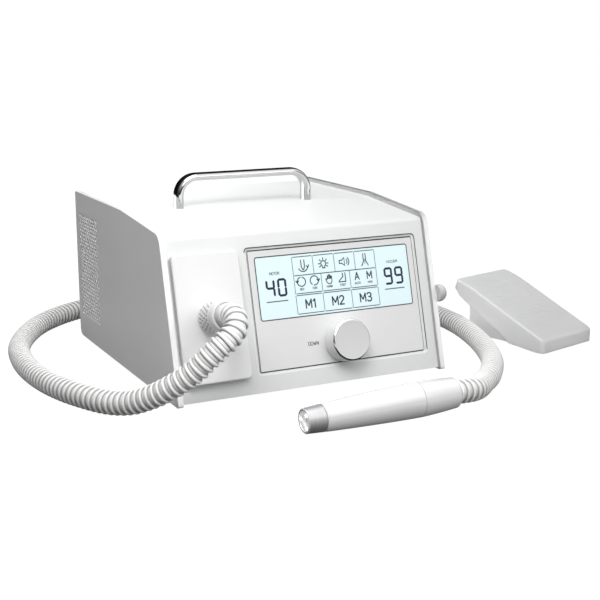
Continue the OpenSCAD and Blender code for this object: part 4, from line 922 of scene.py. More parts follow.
@dataclass
class Display:
    """Display panel, lit window, its marks and the turning knob. Marks are counted from the panel's middle."""

    FIGURES = ("4", -68.6), ("0", -56.7), ("9", 57.7), ("9", 69.5)
    FIGURE_SIZES = 19.8, 7.2, 14.8, 2.2
    FIELDS = (46.6, 29.2, (-22.1, 0.5, 22.6)), (29.2, 12.2, (-15.0, 15.6)), (10.5, -6.8, (-15.2, 15.4))
    FIELD_ENDS = -43.7, 44.9
    LINES = 0.6, 0.85
    RULES = -63.1, 63.3
    RULE_SIZES = 10.7, 7.3, 1.0
    WORDS = (
        ("M1", -29.4, 1.9, 7.9, 1.3, 0.02), ("M2", 0.2, 1.9, 7.9, 1.3, 0.02), ("M3", 30.2, 1.9, 7.9, 1.3, 0.02),
        ("A", 23.2, 23.0, 6.8, 1.15, 0.02), ("M", 36.9, 23.0, 6.8, 1.15, 0.02),
        ("DOWN", -31.4, -35.6, 3.1, 0.5, 0.03))
    CAPTIONS = (
        ("MOTOR", -63.1, 33.3, 2.4, 0.45, 0.02), ("VACUUM", 63.3, 33.7, 2.4, 0.45, 0.02),
        ("REV", -36.3, 16.0, 1.9, 0.45, 0.02), ("FOR", -22.8, 16.0, 1.9, 0.45, 0.02),
        ("HAND", -7.1, 16.1, 1.9, 0.45, 0.02), ("FOOT", 7.4, 16.2, 1.9, 0.45, 0.02),
        ("AUTO", 23.2, 16.3, 1.9, 0.45, 0.02), ("MAN", 36.9, 16.3, 1.9, 0.45, 0.02))

    housing: Housing
    x: float = 33.0
    s: float = 77.8
    width: float = 177.6
    height: float = 113.0
    round: float = 1.4
    thick: float = 1.8
    step: float = 0.7
    window_w: float = 163.4
    window_h: float = 58.8
    window_round: float = 2.2
    window_up: float = 20.0
    field_gap: float = 1.1
    ink_up: float = 0.02
    seam_up: float = 0.04
    knob_down: float = 36.2
    knob_d: float = 40.0
    knob_h: float = 19.0

    def __post_init__(self) -> None:
        """Works out the heights of the stack and the placing."""
        self.face = -self.housing.inset - self.step
        self.place = self.housing.at_front(self.x, self.s)

    def lifted(self, h: float) -> Place:
        """Gives a placing for flat marks, h above the display's face."""
        return lambda q: self.place(raised(q, self.face + h))

    def outline(self, more: float) -> np.ndarray:
        """Gives the panel's outline, wider and higher by that much."""
        return round_box(self.width + more, self.height + more, self.round)

    def printed(self, name: str, finish: Finish, marks: Surface, slot: str = "inner_plastic") -> None:
        """Makes a piece of flat marks, which stay open."""
        marks.piece(name, [finish], slot, close=False)

    def build_panel(self) -> None:
        """Builds the panel with the window's opening, its dark seam, the glass in it, a dark gasket behind it, a dark
        line round its edge and a painted shadow line along the recess's top and right edges.
        """
        low = self.face - self.thick
        window = round_box(self.window_w, self.window_h, self.window_round, 0.0, self.window_up)
        skin, glass, seam, bed, line = (Surface() for _ in range(5))
        skin.plate(self.outline(-0.9), low, self.face, self.place, (0.2, 0.35), [inward(window, -0.3)])
        skin.piece("display_face", [DISPLAY_FILM], "display_grey", "display_panel")
        glass.plate(window, low, self.face - 0.1, self.place, (0.2, 0.3))
        glass.piece("window_glass", [SCREEN_GLASS], "lcd_blue", "lcd_glass")
        seam.ribbon(inward(window, 0.1), 1.0, self.lifted(self.seam_up), closed=True)
        self.printed("window_seam", SEAM_AND_SHADOW_DARK, seam)
        bed.plate(self.outline(0.5), low - 0.15, low - 0.02, self.place, (0.03, 0.03))
        bed.piece("display_gasket", [SEAM_AND_SHADOW_DARK], "inner_plastic")
        line.ribbon(self.outline(-1.5), 0.55, self.lifted(self.seam_up), closed=True)
        # A dark line painted as shadow along the top and right of the recess's outer edge, where its wall is in shade.
        rim = round_box(self.width + 4.9, self.height + 4.9, self.round + 2.4)
        line.ribbon(np.roll(rim, -17, 0)[:19], 0.9, self.lifted(self.step + 0.03))
        self.printed("frame_seam_and_shadow", SEAM_AND_SHADOW_DARK, line)

    def build_figures(self) -> None:
        """Builds the two lit numbers, each bar a flat hexagon."""
        ink = Surface()
        for sign, x in self.FIGURES:
            for bar in Glyphs.figure(sign, x, *self.FIGURE_SIZES):
                ink.add(self.lifted(self.ink_up)(bar), np.arange(len(bar))[None])
        self.printed("lit_figures", INK_NAVY, ink, "black_plastic")

    def build_grid(self) -> None:
        """Builds the frame lines of the touch fields and the rules under the numbers."""
        ink = Surface()
        lift = self.lifted(self.ink_up)
        left, right = self.FIELD_ENDS
        upright, level = self.LINES
        for top, low, splits in self.FIELDS:
            stops = left, *splits, right
            for x in stops:
                ink.ribbon(np.array([[x, low], [x, top]]), upright, lift)
            for a, b in zip(stops[:-1], stops[1:]):
                for y in (top, low):
                    ink.ribbon(np.array([[a + self.field_gap, y], [b - self.field_gap, y]]), level, lift)
        half, up, wide = self.RULE_SIZES
        for x in self.RULES:
            ink.ribbon(np.array([[x - half, up], [x + half, up]]), wide, lift)
        self.printed("field_lines", INK_PALE, ink)

    def build_words(self) -> None:
        """Builds the plain field names: memories, automatic or manual, and small captions."""
        for name, finish, words in (
            ("field_words", INK_GREY, self.WORDS), ("field_captions", INK_PALE, self.CAPTIONS)
        ):
            ink = Surface()
            for text, x, y, high, wide, up in words:
                for line in Glyphs.word(text, x, y, high):
                    ink.ribbon(line, wide, self.lifted(up))
            self.printed(name, finish, ink)

    def build_icons(self) -> None:
        """Builds the field signs as strokes: drill, lamp, sound, nozzle, two ways of turning, hand and foot."""
        ink = Surface()
        lift = self.lifted(self.ink_up)

        def arc(x: float, y: float, r: float, start: float, end: float, n: int = 20) -> None:
            """Draws an arc between two angles in degrees."""
            a = np.radians(np.linspace(start, end, n))
            ink.ribbon(np.stack([x + r * np.cos(a), y + r * np.sin(a)], 1), 1.0, lift)

        def stroke(x: float, y: float, points: Sequence[tuple[float, float]], wide: float = 1.0) -> None:
            """Draws a line of points counted from (x, y)."""
            ink.ribbon(np.asarray(points, float) + (x, y), wide, lift)

        x, y = -32.9, 37.7
        stroke(x, y, [(-1.7, 5.6), (-1.7, -0.6), (-0.5, -3.4), (0.5, -3.4), (1.7, -0.6), (1.7, 5.6)])
        arc(x, y - 0.2, 5.0, 205.0, 350.0)
        stroke(x, y, [(3.6, 0.0), (5.1, -1.6), (6.2, 0.6)])
        x, y = -11.2, 37.6
        arc(x, y + 0.6, 2.6, -50.0, 230.0)
        stroke(x, y, [(-1.5, -1.6), (-1.1, -3.6), (1.1, -3.6), (1.5, -1.6)])
        for a in np.radians([0.0, 45.0, 90.0, 135.0, 180.0, 215.0, 325.0]):
            way = np.array([np.cos(a), np.sin(a)])
            stroke(x, y + 0.6, [way * 3.7, way * 5.3])
        x, y = 11.0, 38.0
        stroke(x, y, [(-5.0, -1.4), (-5.0, 1.4), (-2.4, 1.4), (0.4, 3.8), (0.4, -3.8), (-2.4, -1.4), (-5.0, -1.4)])
        for r in (2.6, 4.6):
            arc(x + 0.8, y, r, -48.0, 48.0)
        x, y = 33.6, 37.9
        for way in (-1.0, 1.0):
            stroke(x, y, [(way * 1.2, 6.0), (way * 1.4, 1.2), (way * 1.0, -0.8), (way * 3.6, -5.6)])
        stroke(x, y, [(0.0, 1.0), (0.0, -4.2)], 0.5)
        for x, way in ((-36.3, 1.0), (-22.7, -1.0)):
            arc(x, 23.1, 4.3, 180.0 - way * 80.0, 180.0 - way * 80.0 + 335.0, 40)
            stroke(x - way * 4.3, 23.3, [(-1.5, 0.9), (0.0, -1.2), (1.5, 0.9)])
        x, y = -7.1, 22.9
        palm = [(-3.4, 0.6), (-2.6, -2.4), (-1.0, -4.2), (1.8, -4.2), (3.0, -2.4), (3.0, 2.6), (2.2, 2.8), (2.0, 0.4)]
        stroke(x, y, palm, 0.85)
        for dx, high in ((-1.0, 3.6), (0.2, 4.4), (1.3, 4.0)):
            stroke(x, y, [(dx, 0.4), (dx, high)])
        stroke(x, y, [(-3.4, 0.6), (-2.2, -0.2), (-1.6, 1.6), (-1.6, 2.6)], 0.85)
        x, y = 7.2, 22.9
        stroke(x, y, [(0.6, 4.4), (0.8, 1.0), (-3.4, -2.6), (-3.8, -3.8), (3.4, -3.8), (3.4, 4.4)])
        self.printed("field_signs", INK_GREY, ink)

    def build_knob(self) -> None:
        """Builds the knob: a turned cap with a bright bevelled crest and a slightly dished face."""
        r, h = self.knob_d / 2.0, self.knob_h
        wall = rounded([[3.2, 0.6], [r - 1.0, 0.6], [r, 1.5], [r - 0.3, h - 1.5]], [0.0, 0.4, 0.5, 0.0], 10)
        bevel = np.array([[r - 0.3, h - 1.5], [r - 0.45, h - 1.2], [r - 1.5, h - 0.12], [r - 1.8, h]])
        face = np.array([
            [r - 1.8, h], [r - 2.2, h - 0.05], [r - 3.0, h - 0.12], [r / 2.0, h - 0.3], [0.0, h - 0.35]])
        cap = Surface()
        place = self.housing.at_front(self.x, self.s - self.knob_down, self.face)
        for profile, tint in ((wall, 0), (bevel, 1), (face, 0)):
            cap.spin(profile, place, 128, tint)
        cap.piece("turning_knob", [KNOB_SATIN, RING_METAL], "knob_grey", "control_knob", Body.KNOB, crease=30.0)

    def build(self) -> None:
        """Builds the panel, all its marks and the knob."""
        self.build_panel()
        self.build_figures()
        self.build_grid()
        self.build_words()
        self.build_icons()
        self.build_knob()


@dataclass
class Port:
    """Raised port plate and the knurled collar of the hose union."""

    PIT_ROWS = 6.9, 11.9, 16.9, 21.9
    KNURL = np.linspace(4.0, 25.0, 71)

    housing: Housing
    x: float = -99.5
    s: float = 77.0
    width: float = 65.0
    height: float = 117.0
    corner: float = 5.0
    rise: float = 8.0
    spigot_d: float = 19.0
    collar_d: float = 30.4
    collar_l: float = 33.0
    collar_gap: float = 0.4
    slip: float = 0.05
    bore: float = 11.6
    neck_l: float = 9.0
    sides: int = 288
    pits: int = 24
    pit: float = 0.9
    pit_half: float = 1.3
    pit_slope: float = 0.9

    def __post_init__(self) -> None:
        """Works out where the plate ends and the collar starts."""
        self.face = self.rise - self.housing.inset
        self.collar_at = self.face + self.collar_gap
        self.place = self.housing.at_front(self.x, self.s)

    def axis(self, out: float) -> np.ndarray:
        """Gives the point on the port's axis that far out."""
        return self.place(np.array([0.0, 0.0, out]))

    def build_plate(self) -> None:
        """Builds the plate with its soft outer edge, painted shade on the wall below that edge, and the hole for the
        spigot.
        """
        plate = Surface()
        loop = round_box(self.width, self.height, self.corner, steps=12)
        hole = circle(self.spigot_d / 2.0 + 0.3, 64)
        plate.plate(loop, -self.housing.inset, self.face, self.place, (0.2, 1.6), [hole])
        rows = len(plate.points[0]) // len(loop)
        # Painted shade: the lower half of the rim, the wall below the soft edge, takes the darker tint.
        plate.mark(np.repeat(np.arange(rows) <= rows // 2, len(loop)).astype(float), 0)
        plate.piece("port_cover_plate", [PLATE_WHITE], "port_white", "port_plate")

    def build_collar(self) -> None:
        """Builds the collar: a turned sleeve whose radius dips in four staggered rows of pits.

        The radius at turn a and height z is the profile's, less a pit's depth where z lies in a row
        and the row's wave round the turn is high. The pits are painted darker as shade, by their depth.
        """
        r, length, neck = self.collar_d / 2.0, self.collar_l, self.spigot_d / 2.0 + self.slip
        body = rounded(
            [[neck, 0.0], [r - 1.6, 0.0], [r, 2.0], [r, 25.4], [r - 0.6, 26.0], [r - 0.6, 26.8],
             [r, 27.4], [r, length - 3.0], [r - 1.6, length], [self.bore, length]],
            [0.0, 0.3, 0.8, 0.2, 0.2, 0.2, 0.4, 1.2, 0.5, 0.0])
        profile = np.concatenate([
            body[body[:, 1] < self.KNURL[0]], np.stack([np.full_like(self.KNURL, r), self.KNURL], 1),
            body[body[:, 1] > self.KNURL[-1]]])
        z = profile[:, 1:]
        dip = np.zeros((len(profile), self.sides))
        for row, middle in enumerate(self.PIT_ROWS):
            wave = np.cos(angles(self.sides) * self.pits + row * np.pi)
            tall = np.clip(1.0 - (np.abs(z - middle) - self.pit_half) / self.pit_slope, 0.0, 1.0)
            dip = dip + self.pit * tall * np.clip((wave + 0.05) / 0.35, 0.0, 1.0)
        inner = np.array([[self.bore, length], [self.bore, self.neck_l], [neck, self.neck_l], [neck, 0.0]])
        skin = Surface()
        skin.grid(self.place(turned(profile[:, :1] - dip, z + self.collar_at, self.sides)), wrap=True)
        # Painted shade: each pit is darkened by its depth.
        skin.mark(dip / self.pit)
        skin.spin(inner + (0.0, self.collar_at), self.place, self.sides)
        skin.piece("union_sleeve", [COLLAR_WHITE], "port_white", "hose_collar", Body.COLLAR, crease=50.0)

    def build(self) -> None:
        """Builds the plate and the collar."""
        self.build_plate()
        self.build_collar()


@dataclass
class Handpiece:
    """The handpiece as it lies: nose ring, mouth with lights, front and rear sleeve."""

    x: float = -68.0
    y: float = -250.0
    length: float = 149.5
    nose_d: float = 21.8
    ring_d: float = 24.2
    ring_l: float = 17.0
    ring_gap: float = 0.3
    rim: float = 2.3
    mouth: float = 4.3
    lamp: float = 1.5
    max_d: float = 31.5
    rear_d: float = 27.2
    rear_l: float = 38.5
    front_bore: float = 8.6
    seam_bore: float = 11.0
    seam_gap: float = 0.15
    seam_round: float = 0.2
    seam_deep: float = 0.9
    rear_bore: float = 11.6
    tilt: float = float(np.radians(1.5))
    rest: float = 0.15

    def __post_init__(self) -> None:
        """Works out where the axis lies, and the placing: two ways across it and one along it from the nose."""
        self.seam = self.length - self.rear_l
        self.z = self.max_d / 2.0 / np.cos(self.tilt) + self.rest - self.seam * np.sin(self.tilt)
        self.start = self.ring_l + self.ring_gap
        c, n = np.cos(self.tilt), np.sin(self.tilt)
        self.place = placing((self.x, self.y, self.z), (n, 0.0, -c), (0.0, 1.0, 0.0), (c, 0.0, n))

    def axis(self, u: float) -> np.ndarray:
        """Gives the point on the axis that far from the nose."""
        return self.place(np.array([0.0, 0.0, u]))

    def outer(self, start: float, end: float, count: int) -> np.ndarray:
        """Gives the sleeves' outer line: swelling to the seam and falling behind it, as powers of the distance.

        Args:
            start: where it begins.
            end: where it ends.
            count: how many points it has.

        Returns:
            Radii and places along.
        """
        u = np.linspace(start, end, count)
        before = np.clip((self.seam - u) / (self.seam - self.start), 0.0, 1.0)
        behind = np.clip((u - self.seam) / self.rear_l, 0.0, 1.0)
        loss = (self.max_d - self.ring_d) * before**1.4 + (self.max_d - self.rear_d) * behind**1.6
        return np.stack([(self.max_d - loss) / 2.0, u], 1)

    def build_nose(self) -> None:
        """Builds the metal nose ring, the face inside it, which glows a little as painted light, its mouth and three
        lights.
        """
        r0, r1, end, mouth = self.nose_d / 2.0, self.ring_d / 2.0, self.ring_l, self.mouth
        bore = r0 - self.rim
        edge = bore - 0.1
        ring, face, lamps = (Surface() for _ in range(3))
        lip = rounded([[bore, 3.0], [bore + 0.5, 0.3], [r0 - 0.8, 0.0], [r0, 0.8]], [0.0, 0.2, 0.3, 0.0])
        wall = rounded([[r0, 0.8], [r1 - 0.15, end - 0.5], [r1 - 0.7, end], [bore, end]], [0.0, 0.3, 0.2, 0.0])
        for tint, profile in enumerate((wall, lip)):
            ring.spin(profile, self.place, 96, tint)
        ring.piece("nose_sleeve", [NOSE_STEEL, NOSE_LIP], "nose_metal", "nose_ring", Body.NOSE)
        disc = rounded(
            [[edge, 20.0], [edge, 0.9], [mouth + 0.8, 0.9], [mouth, 1.7], [mouth, 5.0], [edge - 1.4, 7.0],
             [edge - 1.4, 20.0]],
            [0.0, 0.4, 0.4, 0.4, 0.3, 0.3, 0.0])
        face.spin(disc, self.place, 96)
        face.piece("nose_face_disc", [NOSE_FACE], "black_plastic", "nose_insert")
        dome = rounded([[0.0, 0.1], [self.lamp, 0.3], [self.lamp, 2.6]], [0.0, 0.5, 0.0], 6)
        for angle in np.radians([90.0, 210.0, 330.0]):
            at = np.array([np.cos(angle), np.sin(angle), 0.0]) * (mouth + bore) / 2.0
            lamps.spin(dome, lambda p, q=at: self.place(p + q), 24)
        lamps.piece("nose_lamps", [LIGHT_LENS], "lens_clear", "nose_lights")

    def build_sleeves(self) -> None:
        """Builds both sleeves, turned from the outer line, with a fine groove where they meet."""
        low, high = self.seam - self.seam_gap, self.seam + self.seam_gap
        groove, end, length = self.max_d / 2.0 - self.seam_deep, self.rear_d / 2.0, self.length
        front = np.concatenate([
            [[self.front_bore, self.start], [self.ring_d / 2.0 - 0.35, self.start]],
            self.outer(self.start, low - self.seam_round, 40)[1:],
            [[groove, low], [self.seam_bore, low]]])
        rear = np.concatenate([
            [[self.seam_bore, high], [groove, high]],
            self.outer(high + self.seam_round, length - 1.0, 28),
            [[end - 0.3, length - 0.4], [end - 0.9, length], [self.rear_bore, length], [self.rear_bore, length - 3.0]]])
        for name, profile in (("front", front), ("rear", rear)):
            sleeve = Surface()
            sleeve.spin(profile, self.place, 128)
            sleeve.piece(f"{name}_grip", [SLEEVE_GLOSS], "sleeve_white", f"{name}_sleeve")

    def build(self) -> None:
        """Builds the nose and the sleeves."""
        self.build_nose()
        self.build_sleeves()


@dataclass
class Hose:
    """The ribbed hose, from the port round the back of the unit to the handpiece."""

    PHASE = np.array([0.0, 0.1, 0.18, 0.22, 0.25, 0.31, 0.4, 0.5, 0.6, 0.69, 0.75, 0.78, 0.82, 0.9])

    port: Port
    handpiece: Handpiece
    diameter: float = 22.0
    valley: float = 17.6
    bore: float = 0.78
    pitch: float = 6.4
    rib: float = 0.28
    foot: float = 0.05
    foot_shade: float = 0.8
    valley_shade: float = 0.12
    cuff: float = 31.0
    cuff_end: float = 4.0
    sides: int = 24
    gap: float = 0.4
    steps: int = 24
    entry: float = 11.9
    seat: float = 20.0
    floor: float = 11.2
    rising: tuple[Triple, ...] = (
        (-99.5, -178, 91), (-101, -188, 88), (-105, -194, 82), (-112, -196.5, 76), (-120, -196, 69.5),
        (-130, -193.5, 60), (-139, -189, 50), (-148, -183, 41.5), (-157, -175, 33.5), (-165, -166, 26.5),
        (-173, -156, 20.5), (-181, -145, 15.5), (-190, -132, 12.5))
    lying: tuple[tuple[float, float], ...] = (
        (-199, -117), (-209, -97), (-219, -71), (-227, -38), (-231, 0), (-230, 42), (-221, 94), (-198, 148),
        (-167, 193), (-121, 230), (-62, 251), (0, 257), (62, 252), (121, 232), (170, 197), (207, 149), (231, 93),
        (241, 40), (239, -12), (229, -59), (210.5, -112), (184.5, -164), (153.5, -203.5))
    ending: tuple[Triple, ...] = ((133, -222, 12), (117, -237, 13.5), (102, -246.5, 15.5))

    def route(self) -> np.ndarray:
        """Gives the route's points in millimetres, as the part's source has them.

        Returns:
            Points from the port to the handpiece.
        """
        out, seat = self.port.collar_at + self.entry, self.handpiece.length - self.seat
        steps = 0.0, self.diameter / 2.0, self.diameter
        return np.array([
            *(self.port.axis(out + d) for d in steps), *self.rising, *((x, y, self.floor) for x, y in self.lying),
            *self.ending, *(self.handpiece.axis(seat + d) for d in steps[::-1])], float)

    def line(self) -> tuple[np.ndarray, float]:
        """Runs a smooth curve through the route: between two points a cubic whose ends look along their neighbours.

        Returns:
            Points evenly spaced along the curve, and its length.
        """
        q = self.route()
        ends = np.concatenate([[2 * q[0] - q[1]], q, [2 * q[-1] - q[-2]]])[:, None]
        a, b, c, d = ends[:-3], ends[1:-2], ends[2:-1], ends[3:]
        t = np.linspace(0.0, 1.0, self.steps + 1)[:-1][None, :, None]
        fine = b + t / 2 * (c - a) + t**2 * (a - 2.5 * b + 2 * c - d / 2) + t**3 * (1.5 * b - a / 2 - 1.5 * c + d / 2)
        fine = np.concatenate([fine.reshape(-1, 3), q[-1:]])
        reach = np.concatenate([[0.0], np.cumsum(np.linalg.norm(np.diff(fine, axis=0), axis=1))])
        s = np.linspace(0.0, reach[-1], int(round(reach[-1] / self.gap)) + 1)
        return np.stack([np.interp(s, reach, fine[:, k]) for k in range(3)], 1), float(reach[-1])

    def build(self) -> None:
        """Builds the hose: a ring carried along the route, its radius swelling at each rib.

        Over each pitch the radius follows a half ellipse for the rib and stays at the valley's for the rest;
        a rib's foot and, more lightly, the valley are painted darker as shade. In the collar it is a plain cuff.
        """
        fine, length = self.line()
        ribs, last = int(length / self.pitch), len(fine) - 1
        s = np.append((np.arange(ribs)[:, None] + self.PHASE).reshape(-1), ribs) / ribs * last
        line, ahead = (
            np.stack([np.interp(s, np.arange(last + 1), q[:, k]) for k in range(3)], 1)
            for q in (fine, unit(np.gradient(fine, axis=0))))
        off = np.abs(np.append(np.tile(self.PHASE, ribs), 0.0) - 0.5)
        cuff = np.clip((self.cuff - s / last * length) / self.cuff_end, 0.0, 1.0)
        swell = np.maximum(np.sqrt(np.clip(1.0 - (off / self.rib) ** 2, 0.0, 1.0)), cuff)
        foot = np.exp(-(((off - self.rib) / self.foot) ** 2))
        # Painted shade: dark at each rib's foot and lighter over the valley.
        painted_rib_shade = self.foot_shade * foot + np.where(off > self.rib, self.valley_shade, 0.0)
        p = tube(line, ahead, (self.valley + (self.diameter - self.valley) * swell) / 2.0, self.sides)
        skin = Surface()
        skin.grid(p, wrap=True)
        skin.mark(np.repeat(np.clip(painted_rib_shade, 0.0, 1.0) * (1.0 - cuff), self.sides))
        for at, flip in ((0, True), (-1, False)):
            bore = line[at] + (p[at] - line[at]) * self.bore
            skin.grid(np.stack([p[at], bore]), wrap=True, flip=flip)
            skin.cap(bore, flip)
        piece = skin.piece("ribbed_hose", [HOSE_WHITE], "hose_white", "suction_hose", crease=180.0)
        LOG.info("hose: %.0f mm, %d ribs", length, ribs)


@dataclass
class Pedal:
    """Wedge treadle of the foot pedal: a hollow shell over its base, counted from its front left corner."""

    LIP = np.array([0.0, 0.2, 0.4, 0.6, 0.8, 1.0]), np.array([0.0, 1.0, 2.0, 3.0, -0.5, -4.0])

    x: float = 263.5
    y: float = -143.5
    turn: float = float(np.radians(15.0))
    width: float = 86.0
    length: float = 121.0
    low: float = 16.0
    high: float = 64.0
    wall: float = 2.5
    foot: float = 2.5
    corner: float = 5.0
    edge: float = 2.2
    crown: float = 21.0
    crown_fall: float = 6.0
    crown_ease: float = 6.0
    skirt: float = 17.0
    heel: float = 4.0
    toe: float = 45.0
    pin: float = 10.0
    press: float = float(np.radians(5.0))
    grip_pitch: float = 5.0
    grip_high: float = 0.3
    grip_half: float = 0.95
    grip_slope: float = 0.5
    grip_share: float = 0.9
    grip_from: float = 20.0
    lip: float = 10.0
    row: float = 0.6

    def __post_init__(self) -> None:
        """Works out the placing: across, along and up from the pedal's corner."""
        c, n = np.cos(self.turn), np.sin(self.turn)
        self.place = placing((self.x, self.y, 0.0), (c, n, 0.0), (-n, c, 0.0), (0.0, 0.0, 1.0))

    def roof(self, v: np.ndarray) -> np.ndarray:
        """Gives the top's height: a straight rise whose slope eases into the flatter crown.

        Args:
            v: places along the pedal.

        Returns:
            The heights there.
        """
        bend, soft = self.length - self.crown, self.crown_ease
        rate = (self.high - self.crown_fall - self.low) / bend
        past = np.clip(v, 0.0, self.length) - bend
        ease = np.where(past > soft, past, np.clip(past + soft, 0.0, 2.0 * soft) ** 2 / (4.0 * soft))
        return self.low + rate * (past + bend) + (self.crown_fall / self.crown - rate) * ease

    def hem(self, v: np.ndarray) -> np.ndarray:
        """Gives the skirt's lower edge: level to the pin, parallel to the floor when pressed, then up to the heel.

        Args:
            v: places along the pedal.

        Returns:
            The heights there.
        """
        toe = self.foot + (self.toe - self.pin) * np.tan(self.press)
        return np.interp(
            v, [0.0, self.pin, self.toe, self.length - self.heel],
            [self.foot, self.foot, toe, self.high - self.skirt])

    def build(self) -> None:
        """Builds the treadle's shell.

        The roof is a grid over the plan, raised to the roof line with a low ridge at each grip line. Its border
        runs outwards over a quarter arc and down to the hem; at the back the wall swells out to a lip and turns
        in under it. The inner wall and the roof's underside are the same rows, a wall's thickness inside.
        """
        r, half = self.corner - self.wall, self.width / 2.0 - self.wall
        a = quarter(4)
        first, last = self.wall + r, self.length - self.wall - r
        v = np.concatenate([first - r * np.cos(a), np.arange(first + self.row, last, self.row), last + r * np.sin(a)])
        w = np.concatenate([half - r + r * np.sin(a), np.full(len(v) - 2 * len(a), half), half - r + r * np.cos(a)])
        s = np.concatenate([[-1.0, -0.92], np.linspace(-0.86, 0.86, 13), [0.92, 1.0]])
        u, v = np.broadcast_arrays(half + self.wall + w[:, None] * s, v[:, None])
        bend, step = self.length - self.crown, self.grip_pitch / 2.0
        near = np.abs((bend - v + step) % self.grip_pitch - step)
        gripped = (v < bend + 1.0) & (v > self.grip_from) & (np.abs(s) < self.grip_share)
        ridge = self.grip_high * np.clip((self.grip_half - near) / self.grip_slope, 0.0, 1.0) * gripped
        thick = self.wall / np.cos(np.arctan((self.high - self.low) / self.length))
        shell = Surface()
        shell.grid(self.place(np.stack([u, v, self.roof(v) + ridge], -1)))
        shell.grid(self.place(np.stack([u, v, self.roof(v) - thick], -1)), flip=True)
        flat = np.stack([u, v], -1)
        inner = np.concatenate([flat[0], flat[1:, -1], flat[-1, -2::-1], flat[-2:0:-1, 0]])
        outer = inward(inner, -self.wall)
        back = np.clip((outer[:, 1] - self.length + self.lip) / self.lip, 0.0, 1.0) ** 2
        arc = [
            np.column_stack([q, self.roof(q[:, 1]) - self.edge * (1.0 - np.cos(k))])
            for k in quarter(6) for q in [inward(inner, self.edge - self.wall - self.edge * np.sin(k))]]

        def wall(loop: np.ndarray, top: np.ndarray) -> list[np.ndarray]:
            """Carries a loop from a height down to the hem, swelling at the back."""
            (x, y), low = loop.T, self.hem(loop[:, 1])
            return [np.column_stack([x, y + d * back, top + (low - top) * g]) for g, d in zip(*self.LIP)]

        outside = wall(outer, self.roof(outer[:, 1]) - self.edge)
        inside = wall(inner, self.roof(inner[:, 1]) - thick)
        crest = np.column_stack([inner, self.roof(inner[:, 1])])
        shell.grid(self.place(np.stack([crest, *arc, *outside[1:]])), wrap=True, flip=True)
        shell.grid(self.place(np.stack([outside[-1], *inside[::-1]])), wrap=True, flip=True)
        shell.piece("treadle_shell", [TREADLE_GREY], "treadle_grey", "pedal_treadle", Body.TREADLE)


@dataclass
class Spring:
    """Return spring of the pedal, in the place of the source's sleeve."""

    wire: float = 0.65
    turns: float = 8.5
    steps: int = 32
    sides: int = 10
    close: float = 3.2

    def build(self) -> None:
        """Builds the spring: a wire's ring carried round a helix whose end turns lie close.
        """
        low, high = (np.asarray(q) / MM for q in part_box("pedal_spring"))
        x, y, _ = (low + high) / 2.0
        r, end = (high[0] - low[0]) / 2.0 - self.wire, self.wire * self.close
        t = np.linspace(0.0, self.turns, int(self.turns * self.steps) + 1)
        rise = np.interp(
            t, [0.0, 1.0, self.turns - 1.0, self.turns],
            [low[2] + self.wire, low[2] + end, high[2] - end, high[2] - self.wire])
        line = np.stack([x + r * np.cos(TURN * t), y + r * np.sin(TURN * t), rise], 1)
        p = tube(line, unit(np.gradient(line, axis=0)), self.wire, self.sides)
        coil = Surface()
        coil.grid(p, wrap=True)
        coil.cap(p[0], True)
        coil.cap(p[-1], False)
        coil.piece("return_spring", [STEEL], "steel", "pedal_spring", head=Body.TREADLE)


@dataclass
class Plain:
    """CAD nodes that keep their own shape and only get a finish."""

    nodes: dict[Finish, str] = field(default_factory=lambda: {
        REAR_PAINT: "base_plate rear_panel",
        FOOT_RUBBER: "rubber_feet fan_gasket motor_cradle hose_cuff pedal_feet",
        STEEL: "corner_blocks base_screws handle_screws board_posts encoder_shaft spigot_ring motor_can motor_rotor "
               "drill_motor drill_bearings drill_spindle pedal_pin pedal_magnet",
        INNER_GREY: "lcd_module encoder hose_spigot filter_chamber motor_spacers",
        BOARD_GREEN: "control_board psu_board pedal_sensor",
        BAG_PAPER: "filter_bag",
        ALLOY: "fan_case fan_wheel heat_sink",
        COPPER: "motor_stator transformer",
        BLACK_MOULD: "capacitors mains_inlet rocker_frame power_rocker pedal_jack",
        PEDAL_BASE: "pedal_base"})

    def dress(self) -> None:
        """Gives each node its finish."""
        for finish, names in self.nodes.items():
            for name in names.split():
                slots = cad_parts[name].data.materials
                slots.clear()
                slots.append(finish.material())


@dataclass(frozen=True)
class Lamp:
    """A square soft light that looks at a point.

    One for some objects only fills them in without a shadow, and one that spares some lights all the others.
    """

    name: str
    at: Triple
    aim: Triple
    size: float
    watts: float
    only: tuple[str, ...] = ()
    spare: tuple[str, ...] = ()

    def hang(self) -> None:
        """Hangs the light, and groups the objects that it is for or spares."""
        light = bpy.data.lights.new(self.name, "AREA")
        light.size, light.energy, light.use_shadow = self.size, self.watts, not self.only
        obj = bpy.data.objects.new(self.name, light)
        obj.location = self.at
        obj.rotation_euler = (Vector(self.aim) - Vector(self.at)).to_track_quat("-Z", "Y").to_euler()
        bpy.context.scene.collection.objects.link(obj)
        group = bpy.data.collections.new(f"{self.name}_group")
        for piece in (*self.only, *self.spare):
            group.objects.link(bpy.data.objects[piece])
        obj.light_linking.receiver_collection = group
        if self.spare:
            for link in group.collection_objects:
                link.light_linking.link_state = "EXCLUDE"


